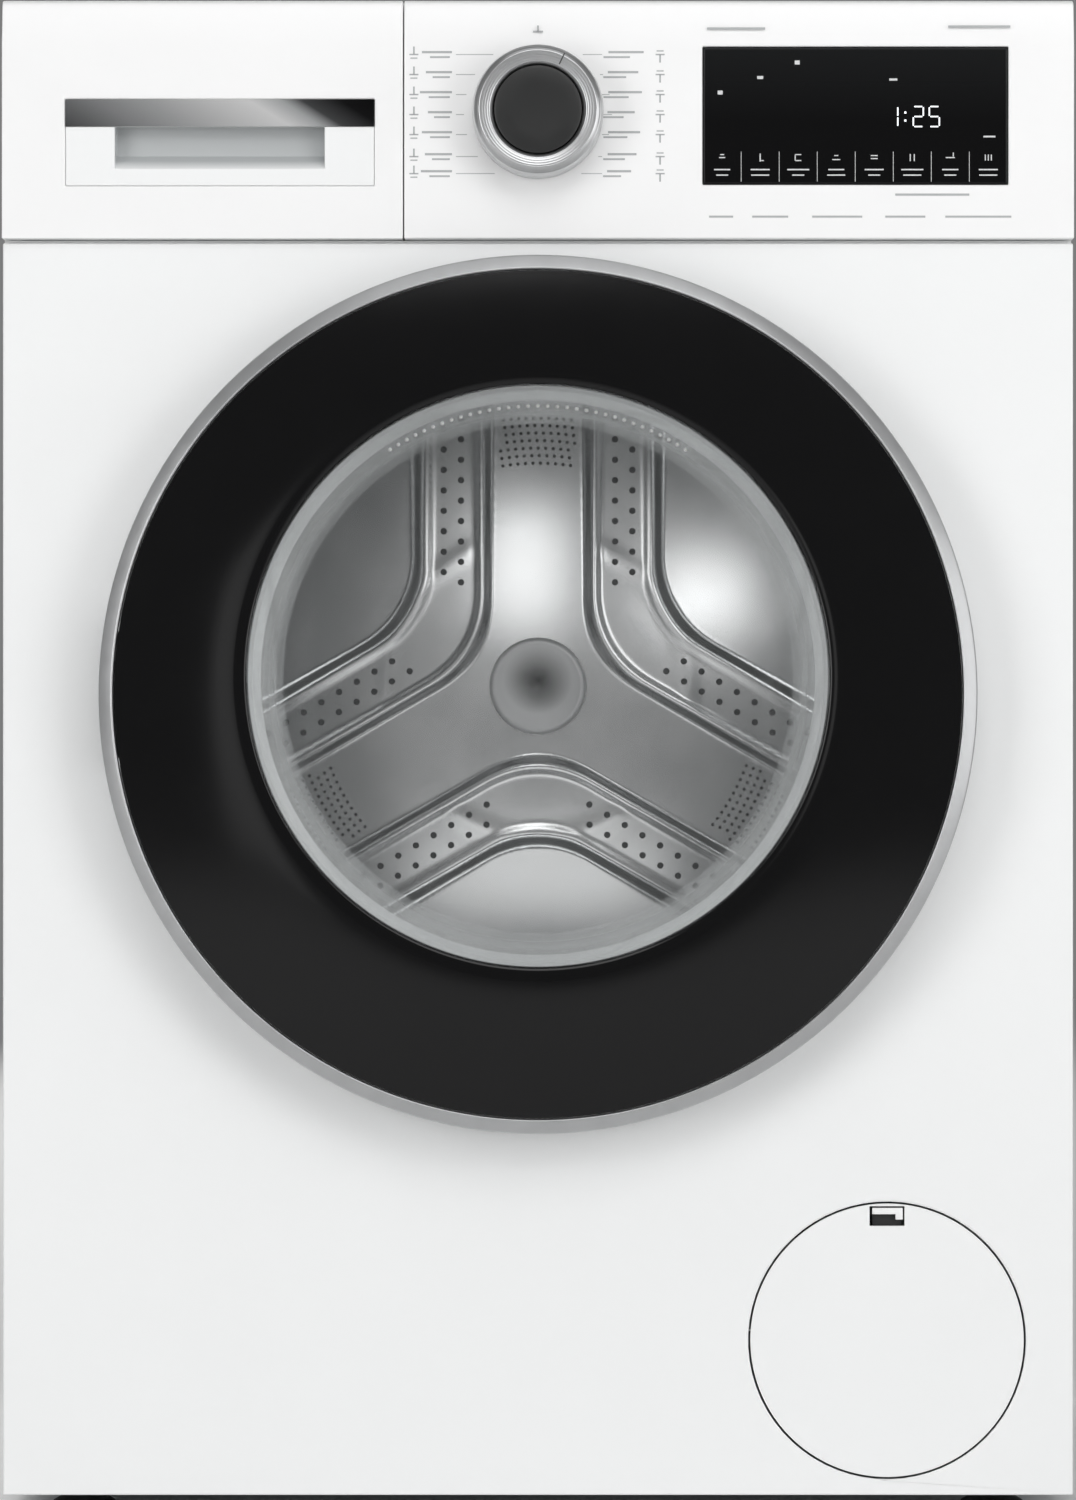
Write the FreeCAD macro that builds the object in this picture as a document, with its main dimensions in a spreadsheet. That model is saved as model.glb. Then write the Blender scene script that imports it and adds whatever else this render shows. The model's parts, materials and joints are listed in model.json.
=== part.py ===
"""Front load washing machine: a parametric FreeCAD document, in millimetres.

X is the machine's width, +Y runs from the door to the rear panel, +Z is up.
The origin lies on the floor, midway between the door's face and the rear of the worktop.
"""

import FreeCAD
import Part
import Sketcher
import math
import os
import re

Vector = FreeCAD.Vector
os.makedirs("parts", exist_ok=True)
doc = FreeCAD.newDocument("front_load_washing_machine")

# ---------------------------------------------------------------- driving dimensions

SIZES = {
    # cabinet
    "overall_width": 598, "overall_height": 848, "cabinet_depth": 590, "door_proud": 46,
    "foot_clearance": 13, "sheet": 1, "rear_inset": 14, "panel_return": 12,
    "flange_width": 18, "worktop_thick": 18, "panel_gap": 2, "fit_gap": 0.5,
    "door_hole": 186, "lip_depth": 14,
    "cover_width": 320, "cover_height": 400, "cover_centre": 450, "cover_lap": 12,
    "screw_shank": 1.9, "screw_head": 4.5, "screw_head_thick": 2.2, "screw_hole": 2.1,
    # base and feet
    "tray_height": 30, "tray_wall": 3, "foot_inset": 42, "foot_boss": 18,
    "foot_pad": 18, "foot_pad_thick": 9, "foot_rod": 5, "foot_rod_clear": 0.1, "foot_rod_length": 24,
    # fascia, knob and display
    "fascia_height": 133.5, "fascia_proud": 6, "fascia_depth": 16, "fascia_wall": 3,
    "crease_drop": 25, "crease_lean": 3, "fascia_edge": 5, "split_gap": 0.7,
    "knob_radius": 36.5, "knob_cap_radius": 24.6, "knob_proud": 25, "knob_drop": 64,
    "knob_lift": 1, "spindle_radius": 3, "spindle_clear": 0.05,
    "display_width": 170, "display_height": 76.5, "display_centre": 177,
    "display_drop": 65, "display_thick": 2.5, "board_thick": 1.6,
    # detergent drawer
    "drawer_width": 224, "handle_height": 48, "handle_left": 35.6, "handle_right": 16.4,
    "handle_top": 56, "strip_height": 15, "strip_proud": 0.8, "grip_inset": 27.4,
    "grip_height": 24.4, "grip_far_inset": 27.6, "grip_depth": 12.5, "grip_undercut": 10.5,
    "tray_low_drop": 118, "tray_top_drop": 42, "tray_length": 282, "box_wall": 2,
    "housing_length": 303, "housing_top_drop": 22, "housing_floor_drop": 123,
    "softener_pocket": 49, "prewash_pocket": 47, "pocket_floor": 4,
    # door
    "door_height": 460, "window_rise": 10, "ring_outer": 243, "ring_inner": 234,
    "ring_wall": 3, "ring_face": 40, "ring_gap": 3, "cover_inner_edge": 176,
    "window_radius": 160, "cover_thick": 4, "glass_thick": 4, "bowl_back": 150,
    "bowl_depth": 77, "bowl_rim": 23, "bowl_corner": 18, "bowl_dome": 14, "bowl_flange": 174,
    "frame_radius": 228, "frame_gap": 4,
    "hinge_across": 235, "hinge_out": 22, "knuckle": 5.5, "hinge_pin_radius": 3, "hinge_clear": 0.05,
    "knuckle_half": 22, "ear_thick": 10, "ear_gap": 2,
    "hook_across": 214, "hook_out": 13, "hook_pin": 2.5,
    # gasket
    "rubber": 3, "gasket_lip": 160.5, "gasket_bulge": 197,
    # tub
    "tub_inner": 252, "tub_wall": 4, "tub_flange": 264, "tub_front_in": 60, "tub_split_in": 242,
    "tub_back_in": 477, "tub_back_wall": 6, "collar_radius": 176, "collar_wall": 4, "collar_length": 14,
    "tub_bolt": 2.5, "tub_bolts_count": 12, "hub_outer": 42, "hub_end_in": 534,
    "bearing_outer": 31, "bearing_width": 16, "shaft_radius": 15, "shaft_clear": 0.05,
    "weight_inner": 201, "weight_outer": 248, "weight_thick": 34, "weight_gap_angle": 35,
    "sump_half": 72, "sump_low": 180, "heater_tube": 4, "heater_spread": 40,
    # drum
    "drum_radius": 240, "drum_wall": 1, "drum_mouth": 170, "drum_front_in": 67, "drum_back_in": 422,
    "arm_half": 33, "chevron_far": 74, "emboss": 5, "hub_cap_radius": 31, "lifter_height": 52,
    "lifter_foot": 70, "lifter_crest": 22, "spider_hub": 34, "spider_arm": 44, "spider_thick": 14,
    # drive
    "drum_pulley": 140, "motor_pulley": 11, "belt_thick": 4, "belt_width": 14, "belt_in": 548,
    "belt_clear": 0.3, "motor_height": 105, "motor_radius": 56, "motor_front_in": 372, "motor_length": 130,
    # suspension
    "damper_across": 180, "damper_in": 302, "damper_outer": 16, "damper_inner": 12.5,
    "damper_top": 150, "damper_rod": 5, "piston": 12,
    "spring_across": 225, "spring_in": 362, "spring_coil": 12, "spring_wire": 1.8,
    "spring_low": 665, "spring_top": 804, "spring_pitch": 9,
    # water circuit
    "flap_across": 195, "flap_height": 99.5, "flap_radius": 76.4, "flap_gap": 1.2, "flap_thick": 2.5,
    "latch_width": 19.5, "latch_height": 11,
    "pump_height": 85, "filter_outer": 36, "filter_inner": 32, "filter_length": 104,
    "volute_radius": 40, "volute_length": 30, "pump_motor": 25,
    "sump_hose_across": 168, "sump_hose_in": 82, "hose_radius": 17, "hose_ripple": 4,
    "spout_across": -190, "spout_in": 272, "spout_radius": 18,
    "drain_radius": 11, "drain_across": 262, "drain_bend": 40,
    "inlet_across": -150, "inlet_drop": 58, "inlet_thread": 13.2, "inlet_bore": 8,
    "cable_across": 200, "cable_drop": 88, "cable_radius": 3.75,
}

# Places worked out from the sizes above.
PLACES = {
    "half_width": "overall_width / 2",
    "half_depth": "(cabinet_depth + door_proud) / 2",
    "front_face": "door_proud - half_depth",
    "rear_face": "half_depth - rear_inset",
    "panel_back": "front_face + panel_return",
    "panel_top": "overall_height - fascia_height - panel_gap",
    "fascia_low": "overall_height - fascia_height",
    "fascia_front": "front_face - fascia_proud",
    "fascia_back": "fascia_front + fascia_depth",
    "worktop_low": "overall_height - worktop_thick",
    "tray_rim": "foot_clearance + tray_height",
    "tray_floor": "foot_clearance + tray_wall",
    "split": "drawer_width - half_width",
    "handle_x": "handle_left - half_width",
    "handle_z": "overall_height - handle_top",
    "strip_low": "handle_z - strip_height",
    "handle_width": "drawer_width - handle_left - handle_right",
    "grip_x": "handle_x + grip_inset",
    "grip_width": "handle_width - grip_inset - grip_far_inset",
    "tray_low": "overall_height - tray_low_drop",
    "tray_top": "overall_height - tray_top_drop",
    "housing_top": "overall_height - housing_top_drop",
    "housing_floor": "overall_height - housing_floor_drop",
    "main_pocket": "drawer_width - 58 - softener_pocket - prewash_pocket",
    "knob_height": "overall_height - knob_drop",
    "display_middle": "overall_height - display_drop",
    "inlet_height": "overall_height - inlet_drop",
    "cable_height": "overall_height - cable_drop",
    "drum_height": "door_height + window_rise",
    "ring_front": "front_face - ring_face",
    "ring_back": "front_face - ring_gap",
    "door_front": "front_face - door_proud",
    "bowl_rim_y": "front_face - bowl_rim",
    "bowl_end": "front_face + bowl_depth",
    "frame_back": "front_face - frame_gap",
    "hinge_x": "0 - hinge_across",
    "hinge_y": "front_face - hinge_out",
    "hook_y": "front_face - hook_out",
    "tub_front": "front_face + tub_front_in",
    "tub_split": "front_face + tub_split_in",
    "tub_back": "front_face + tub_back_in",
    "tub_outer": "tub_inner + tub_wall",
    "hub_end": "front_face + hub_end_in",
    "drum_front": "front_face + drum_front_in",
    "drum_back": "front_face + drum_back_in",
    "belt_low": "front_face + belt_in - belt_width / 2",
    "belt_high": "front_face + belt_in + belt_width / 2",
    "motor_front": "front_face + motor_front_in",
    "motor_back": "front_face + motor_front_in + motor_length",
    "damper_y": "front_face + damper_in",
    "spring_y": "front_face + spring_in",
    "flap_low": "flap_height - flap_radius",
    "pump_front": "front_face + 26",
    "sump_hose_y": "front_face + sump_hose_in",
    "spout_y": "front_face + spout_in",
    "housing_back": "fascia_back + 4 + housing_length",
}

sizes = doc.addObject("Spreadsheet::Sheet", "Sizes")
places = doc.addObject("Spreadsheet::Sheet", "Places")
OWNERS = {name: "Sizes." for name in SIZES} | {name: "Places." for name in PLACES}
kept = []


def prefixed(text):
    """Puts its sheet's name in front of every alias in an expression."""
    return re.sub(r"[A-Za-z_]\w*", lambda word: OWNERS.get(word[0], "") + word[0], text)


def fill_sheets():
    for row, (name, size) in enumerate(SIZES.items(), 1):
        sizes.set(f"A{row}", name)
        sizes.set(f"B{row}", str(size))
        sizes.setAlias(f"B{row}", name)
    doc.recompute()
    for row, (name, formula) in enumerate(PLACES.items(), 1):
        places.set(f"A{row}", name)
        places.set(f"B{row}", "=" + prefixed(formula).replace("Places.", ""))
        places.setAlias(f"B{row}", name)
    doc.recompute()


def value(text):
    """The number that an expression gives now."""
    return float(places.evalExpression(prefixed(text).replace("Places.", "")))


# ---------------------------------------------------------------- building blocks


def add(kind, name):
    """A new working object; its name tells it apart from the finished sub-part."""
    return doc.addObject(kind, f"{name}_{kind.split('::')[1].lower()}")


def bind(item, name, text):
    item.setExpression(name, prefixed(text))


def place(item, x="0", y="0", z="0"):
    for axis, text in zip("xyz", (x, y, z)):
        bind(item, ".Placement.Base." + axis, text)


def block(name, x, y, z):
    """A box between two expressions along each axis."""
    solid = add("Part::Box", name)
    for size, (low, high) in zip(("Length", "Width", "Height"), (x, y, z)):
        bind(solid, size, f"({high}) - ({low})")
    place(solid, x[0], y[0], z[0])
    return solid


TURNS = {"X": (Vector(0, 1, 0), 90), "Y": (Vector(1, 0, 0), -90), "Z": (Vector(0, 0, 1), 0)}


def rod(name, radius, axis, low, high, centre):
    """A round bar along an axis; centre holds the other two coordinates, in X, Y, Z order."""
    solid = add("Part::Cylinder", name)
    bind(solid, "Radius", radius)
    bind(solid, "Height", f"({high}) - ({low})")
    solid.Placement.Rotation = FreeCAD.Rotation(*TURNS[axis])
    spot = list(centre)
    spot.insert("XYZ".index(axis), low)
    place(solid, *spot)
    return solid


def join(name, *parts):
    solid = add("Part::MultiFuse", name)
    solid.Shapes = list(parts)
    solid.Refine = True
    return solid


def cut(name, base, *tools):
    """Takes each tool out of base, one after another."""
    for tool in tools:
        step = add("Part::Cut", name)
        step.Base = base
        step.Tool = tool
        base = step
    return base


def tube(name, outer, inner, axis, low, high, centre):
    return cut(name, rod(name, outer, axis, low, high, centre), rod(name, inner, axis, low, high, centre))


def arc_through(start, end, radius):
    """The short arc between two points; its centre is to the left of the run if radius is positive."""
    half = (end - start).Length / 2
    side = Vector(start.y - end.y, end.x - start.x, 0).normalize() * math.copysign(1, radius)
    centre = (start + end) / 2 + side * math.sqrt(max(radius * radius - half * half, 0))
    first = math.atan2(start.y - centre.y, start.x - centre.x)
    last = math.atan2(end.y - centre.y, end.x - centre.x)
    if (last - first) % (2 * math.pi) > math.pi:
        first, last = last, first
    circle = Part.Circle(centre, Vector(0, 0, 1), abs(radius))
    return Part.ArcOfCircle(circle, first, first + (last - first) % (2 * math.pi))


def outline(body, plane, points):
    """A closed sketch. A point is (across, up), or (across, up, radius) when an arc leads to it."""
    sketch = body.newObject("Sketcher::SketchObject", body.Name + "_outline")
    origin = [item for item in body.Origin.OriginFeatures if item.Role == plane][0]
    sketch.AttachmentSupport = [(origin, "")]
    sketch.MapMode = "FlatFace"
    spots = [Vector(value(point[0]), value(point[1]), 0) for point in points]
    count = len(points)
    for k in range(count):
        start, end = spots[k], spots[(k + 1) % count]
        target = points[(k + 1) % count]
        if len(target) == 3:
            sketch.addGeometry(arc_through(start, end, value(target[2])), False)
        else:
            sketch.addGeometry(Part.LineSegment(start, end), False)
    ends = []
    for k in range(count):
        curve = sketch.Geometry[k]
        forward = (curve.StartPoint - spots[k]).Length < 1e-6
        ends.append((1, 2) if forward else (2, 1))
    for k in range(count):
        after = (k + 1) % count
        sketch.addConstraint(Sketcher.Constraint("Coincident", k, ends[k][1], after, ends[after][0]))
    for k, point in enumerate(points):
        for kind, text in (("DistanceX", point[0]), ("DistanceY", point[1])):
            rule = sketch.addConstraint(Sketcher.Constraint(kind, -1, 1, k, ends[k][0], value(text)))
            bind(sketch, f"Constraints[{rule}]", text)
        if len(point) == 3:
            before = (k - 1) % count
            rule = sketch.addConstraint(Sketcher.Constraint("Radius", before, abs(value(point[2]))))
            bind(sketch, f"Constraints[{rule}]", f"abs({point[2]})")
    return sketch


def turned(name, axis, points, x="0", y="0", z="0"):
    """A body spun about its own Y or Z axis from an outline of (radius, along) points."""
    body = add("PartDesign::Body", name)
    sketch = outline(body, "XY_Plane" if axis == "Y" else "XZ_Plane", points)
    spin = body.newObject("PartDesign::Revolution", name + "_spin")
    spin.Profile = sketch
    spin.ReferenceAxis = (sketch, ["V_Axis"])
    spin.Angle = 360
    place(body, x, y, z)
    return body


def drawn(name, axis, points, low, high):
    """A body pushed along an axis from an outline: (y, z) along X, (x, z) along Y, (x, y) along Z."""
    body = add("PartDesign::Body", name)
    plane = {"X": "YZ_Plane", "Y": "XZ_Plane", "Z": "XY_Plane"}[axis]
    pad = body.newObject("PartDesign::Pad", name + "_pad")
    pad.Profile = outline(body, plane, points)
    bind(pad, "Length", f"({high}) - ({low})")
    spot = {"X": (low, "0", "0"), "Y": ("0", high, "0"), "Z": ("0", "0", low)}[axis]
    place(body, *spot)
    return body


def keep(name, item):
    """Marks an object as a finished sub-part whose Label names its file."""
    item.Label = name
    kept.append(item)
    return item


def mirrored(text, side):
    return text if side > 0 else f"0 - ({text})"


def span(low, high, side):
    """A low and high pair on the +X side, or its mirror image."""
    return (low, high) if side > 0 else (f"0 - ({high})", f"0 - ({low})")


fill_sheets()

# ---------------------------------------------------------------- cabinet


def side_panel(name, side):
    wall = block(name, span("half_width - sheet", "half_width", side), ("panel_back", "rear_face"),
                 ("foot_clearance", "worktop_low"))
    flange = span("half_width - flange_width", "half_width - sheet / 2", side)
    above_tray = ("tray_rim + fit_gap", "worktop_low")
    front = block(name, flange, ("panel_back", "panel_back + sheet"), above_tray)
    rear = block(name, flange, ("rear_face - 2 * sheet", "rear_face - sheet"), above_tray)
    hanger = block(name, span("spring_across - 20", "half_width - sheet / 2", side),
                   ("spring_y - 16", "spring_y + 16"), ("spring_top + 2", "spring_top + 5"))
    hook = rod(name, "spring_coil - spring_wire - 1", "Z", "spring_top - 10", "spring_top + 3",
               (mirrored("spring_across", side), "spring_y"))
    keep(name, join(name, wall, front, rear, hanger, hook))


def lock_slot(name, low, high):
    return block(name, ("hook_across - 8", "hook_across + 12"), (low, high),
                 ("door_height + 4", "door_height + 36"))


def front_panel():
    name = "front_panel"
    skin = block(name, ("0 - half_width", "half_width"), ("front_face", "panel_back"),
                 ("foot_clearance", "panel_top"))
    inside = block(name, ("sheet - half_width", "half_width - sheet"), ("front_face + sheet", "panel_back"),
                   ("foot_clearance + sheet", "panel_top - sheet"))
    pan = cut(name, skin, inside)
    lip = rod(name, "door_hole + sheet", "Y", "front_face", "front_face + lip_depth", ("0", "drum_height"))
    mouth = rod(name, "door_hole", "Y", "front_face", "front_face + lip_depth", ("0", "drum_height"))
    flap_hole = rod(name, "flap_radius + flap_gap", "Y", "front_face", "panel_back", ("flap_across", "flap_height"))
    slot = lock_slot(name, "front_face", "panel_back")
    keep(name, cut(name, join(name, pan, lip), mouth, flap_hole, slot))


def rear_panel():
    name = "rear_panel"
    sheet = block(name, ("sheet + fit_gap / 2 - half_width", "half_width - sheet - fit_gap / 2"),
                  ("rear_face - sheet", "rear_face"), ("tray_rim + fit_gap", "worktop_low"))
    window = block(name, ("cover_lap - cover_width / 2", "cover_width / 2 - cover_lap"),
                   ("rear_face - sheet", "rear_face"),
                   ("cover_centre - cover_height / 2 + cover_lap", "cover_centre + cover_height / 2 - cover_lap"))
    through = ("rear_face - sheet", "rear_face")
    inlet = rod(name, "inlet_thread + fit_gap", "Y", *through, ("inlet_across", "inlet_height"))
    cable = rod(name, "cable_radius + 4 + fit_gap / 2", "Y", *through, ("cable_across", "cable_height"))
    drain = rod(name, "drain_radius + fit_gap", "Y", *through, ("drain_across", "pump_height"))
    screws = [rod(name, "screw_hole", "Y", *through, spot) for spot in cover_screw_spots()]
    keep(name, cut(name, sheet, window, inlet, cable, drain, *screws))


def cover_screw_spots():
    """Three screws down each side of the service cover."""
    return [(f"{side} * (cover_width / 2 - cover_lap / 2)",
             f"cover_centre + {step} * (cover_height / 2 - cover_lap / 2)")
            for side in (-1, 1) for step in (-1, 0, 1)]


def rear_cover():
    name = "rear_cover"
    plate = block(name, ("0 - cover_width / 2", "cover_width / 2"), ("rear_face", "rear_face + sheet"),
                  ("cover_centre - cover_height / 2", "cover_centre + cover_height / 2"))
    bulge = block(name, ("40 - cover_width / 2", "cover_width / 2 - 40"), ("rear_face + sheet / 2", "rear_face + 4"),
                  ("cover_centre - cover_height / 2 + 40", "cover_centre + cover_height / 2 - 40"))
    hollow = block(name, ("41 - cover_width / 2", "cover_width / 2 - 41"), ("rear_face", "rear_face + 3"),
                   ("cover_centre - cover_height / 2 + 41", "cover_centre + cover_height / 2 - 41"))
    holes = [rod(name, "screw_hole", "Y", "rear_face", "rear_face + sheet", spot) for spot in cover_screw_spots()]
    keep(name, cut(name, join(name, plate, bulge), hollow, *holes))
    name = "cover_screws"
    screws = []
    for spot in cover_screw_spots():
        head = rod(name, "screw_head", "Y", "rear_face + sheet", "rear_face + sheet + screw_head_thick", spot)
        shank = rod(name, "screw_shank", "Y", "rear_face - 8", "rear_face + sheet + screw_head_thick / 2", spot)
        screws.append(join(name, head, shank))
    group = add("Part::Compound", name)
    group.Links = screws
    keep(name, group)


def worktop():
    name = "top_plate"
    keep(name, drawn(name, "X", [
        ("fascia_back + fit_gap", "worktop_low"),
        ("half_depth - 2", "worktop_low"),
        ("half_depth", "worktop_low + 2"),
        ("half_depth", "overall_height - 4"),
        ("half_depth - 4", "overall_height", "4"),
        ("fascia_back + fit_gap", "overall_height"),
    ], "0 - half_width", "half_width"))


def foot_spots():
    return {
        "foot_front_left": ("foot_inset - half_width", "front_face + foot_inset"),
        "foot_front_right": ("half_width - foot_inset", "front_face + foot_inset"),
        "foot_rear_left": ("foot_inset - half_width", "rear_face - foot_inset"),
        "foot_rear_right": ("half_width - foot_inset", "rear_face - foot_inset"),
    }


def base_tray():
    name = "base_tray"
    reach = ("fit_gap + sheet - half_width", "half_width - sheet - fit_gap")
    depth = ("front_face + sheet + fit_gap / 2", "rear_face - 2 * sheet - fit_gap")
    outer = block(name, reach, depth, ("foot_clearance + sheet", "tray_rim"))
    inner = block(name, ("fit_gap + sheet + tray_wall - half_width", "half_width - sheet - fit_gap - tray_wall"),
                  ("front_face + sheet + fit_gap / 2 + tray_wall", "rear_face - 2 * sheet - fit_gap - tray_wall"),
                  ("tray_floor + sheet", "tray_rim"))
    bosses = [rod(name, "foot_boss", "Z", "foot_clearance + sheet", "tray_rim", spot)
              for spot in foot_spots().values()]
    seats = [rod(name, "damper_outer + 3", "Z", "tray_floor", "tray_floor + 10",
                 (mirrored("damper_across", side), "damper_y")) for side in (-1, 1)]
    bezel = rod(name, "flap_radius + 8", "Y", "front_face + sheet + fit_gap / 2", "front_face + 12",
                ("flap_across", "flap_height"))
    saddle = block(name, ("flap_across - 20", "flap_across + 20"), ("front_face + 60", "front_face + 100"),
                   ("tray_floor", "pump_height - filter_outer + 3"))
    body = join(name, cut(name, outer, inner), *bosses, *seats, bezel, saddle)
    bezel_hole = rod(name, "flap_radius + 2.5", "Y", "front_face", "front_face + 30", ("flap_across", "flap_height"))
    notch = block(name, ("flap_across - 38", "flap_across + 38"), ("front_face", "front_face + 12"),
                  ("foot_clearance + sheet + 2", "flap_height"))
    bed = rod(name, "filter_outer + fit_gap", "Y", "front_face + 50", "front_face + 110", ("flap_across", "pump_height"))
    bores = [rod(name, "foot_rod + foot_rod_clear", "Z", "foot_clearance", "tray_rim", spot)
             for spot in foot_spots().values()]
    sockets = [rod(name, "damper_outer + fit_gap / 2", "Z", "tray_floor + 4", "tray_floor + 12",
                   (mirrored("damper_across", side), "damper_y")) for side in (-1, 1)]
    keep(name, cut(name, body, bezel_hole, notch, bed, *bores, *sockets))


def foot(name, spot):
    keep(name, turned(name, "Z", [
        ("0", "0"),
        ("foot_pad - 1.5", "0"),
        ("foot_pad", "1.5"),
        ("foot_pad", "foot_pad_thick / 2"),
        ("foot_pad * 0.6", "foot_pad_thick"),
        ("foot_rod", "foot_pad_thick"),
        ("foot_rod", "foot_pad_thick + foot_rod_length"),
        ("0", "foot_pad_thick + foot_rod_length"),
    ], *spot))


side_panel("left_side_panel", -1)
side_panel("right_side_panel", 1)
front_panel()
rear_panel()
rear_cover()
worktop()
base_tray()
for foot_name, foot_spot in foot_spots().items():
    foot(foot_name, foot_spot)

# ---------------------------------------------------------------- fascia, display and knob

FASCIA_FACE = [
    ("fascia_front", "fascia_low"),
    ("fascia_front", "overall_height - crease_drop"),
    ("fascia_front + crease_lean", "overall_height - fascia_edge"),
    ("fascia_front + crease_lean + fascia_edge", "overall_height", "0 - fascia_edge"),
    ("fascia_back", "overall_height"),
]
FASCIA_INSIDE = [
    ("fascia_back", "overall_height - fascia_wall"),
    ("fascia_front + crease_lean + fascia_wall + 3", "overall_height - fascia_wall"),
    ("fascia_front + fascia_wall", "overall_height - crease_drop - 4"),
    ("fascia_front + fascia_wall", "fascia_low + fascia_wall"),
    ("fascia_back", "fascia_low + fascia_wall"),
]
FASCIA_FOOT = [("fascia_back", "fascia_low")]


def fascia_shell(name, low, high):
    """The fascia's bent wall from low to high across the machine, closed at both ends."""
    wall = drawn(name, "X", FASCIA_FACE + FASCIA_INSIDE + FASCIA_FOOT, low, high)
    left = drawn(name, "X", FASCIA_FACE + FASCIA_FOOT, low, f"{low} + fascia_wall")
    right = drawn(name, "X", FASCIA_FACE + FASCIA_FOOT, f"{high} - fascia_wall", high)
    return join(name, wall, left, right)


def display_slab(name, low, high, margin):
    return block(name, (f"display_centre - display_width / 2 - {margin}", f"display_centre + display_width / 2 + {margin}"),
                 (low, high),
                 (f"display_middle - display_height / 2 - {margin}", f"display_middle + display_height / 2 + {margin}"))


def control_panel():
    name = "control_panel"
    shell = fascia_shell(name, "split + split_gap / 2", "half_width")
    window = display_slab(name, "fascia_front - 1", "fascia_front + fascia_wall + 1", "0.3")
    spindle = rod(name, "10", "Y", "fascia_front - 1", "fascia_front + fascia_wall + 1", ("0", "knob_height"))
    keep(name, cut(name, shell, window, spindle))
    glass = display_slab("display_glass", "fascia_front - 0.2", "fascia_front - 0.2 + display_thick", "0")
    keep("display_glass", glass)


def control_board():
    name = "control_board"
    board = block(name, ("split + 14", "half_width - 14"), ("fascia_back - board_thick - 2", "fascia_back - 2"),
                  ("fascia_low + 16", "overall_height - 24"))
    tray = display_slab(name, "fascia_front - 0.2 + display_thick + fit_gap", "fascia_back - board_thick - 2", "-4")
    encoder = rod(name, "9", "Y", "fascia_front + fascia_wall + fit_gap", "fascia_back - 2", ("0", "knob_height"))
    spindle = rod(name, "spindle_radius", "Y", "fascia_front - knob_proud + 6", "fascia_back - 3", ("0", "knob_height"))
    keep(name, join(name, board, tray, encoder, spindle))


def knob():
    front = "fascia_front - knob_proud"
    bore = "spindle_radius + spindle_clear"
    keep("knob_ring", turned("knob_ring", "Y", [
        ("knob_cap_radius", "3"),
        ("knob_cap_radius + 2", "1"),
        ("knob_radius - 5", "0", "12"),
        ("knob_radius - 1.5", "3", "6"),
        ("knob_radius", "knob_proud - knob_lift"),
        ("knob_radius - 2.5", "knob_proud - knob_lift"),
        ("knob_radius - 4", "9"),
        ("knob_cap_radius", "9"),
    ], "0", front, "knob_height"))
    keep("knob_cap", turned("knob_cap", "Y", [
        ("0", "3.2"),
        ("knob_cap_radius - 0.1", "2.2"),
        ("knob_cap_radius - 0.1", "10"),
        ("8", "10"),
        ("8", "knob_proud - knob_lift"),
        (bore, "knob_proud - knob_lift"),
        (bore, "5.5"),
        ("0", "5.5"),
    ], "0", front, "knob_height"))


control_panel()
control_board()
knob()

# ---------------------------------------------------------------- detergent drawer


def handle_slab(name, low, high, z_low, z_high):
    return block(name, ("handle_x", "handle_x + handle_width"), (low, high), (z_low, z_high))


def drawer_front():
    name = "drawer_front"
    shell = fascia_shell(name, "0 - half_width", "split - split_gap / 2")
    window = block(name, ("handle_x - 0.2", "handle_x + handle_width + 0.2"),
                   ("fascia_front - 1", "fascia_front + fascia_wall + 1"),
                   ("handle_z - handle_height - 0.2", "handle_z + 0.2"))
    keep(name, cut(name, shell, window))


def drawer_handle():
    name = "drawer_handle"
    grip = ("grip_x", "grip_x + grip_width")
    cup_back = "fascia_front + grip_depth"
    plate = handle_slab(name, "fascia_front", "fascia_front + fascia_wall", "handle_z - handle_height", "handle_z")
    cup = block(name, ("grip_x - 2.5", "grip_x + grip_width + 2.5"), ("fascia_front + 1", f"{cup_back} + 2"),
                ("strip_low - grip_height - 2.5", "strip_low + grip_undercut + 2.5"))
    slope = drawn(name, "X", [
        ("fascia_front - 1", "strip_low - grip_height"),
        (cup_back, "strip_low - grip_height + 9"),
        (cup_back, "strip_low + grip_undercut"),
        ("fascia_front + 4", "strip_low + grip_undercut"),
        ("fascia_front + 4", "strip_low"),
        ("fascia_front - 1", "strip_low"),
    ], *grip)
    seat = handle_slab(name, "fascia_front - 1", "fascia_front + 1.2", "strip_low", "handle_z + 1")
    keep(name, cut(name, join(name, plate, cup), slope, seat))
    name = "drawer_trim"
    keep(name, handle_slab(name, "fascia_front - strip_proud", "fascia_front + 1.2", "strip_low", "handle_z"))


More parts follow.
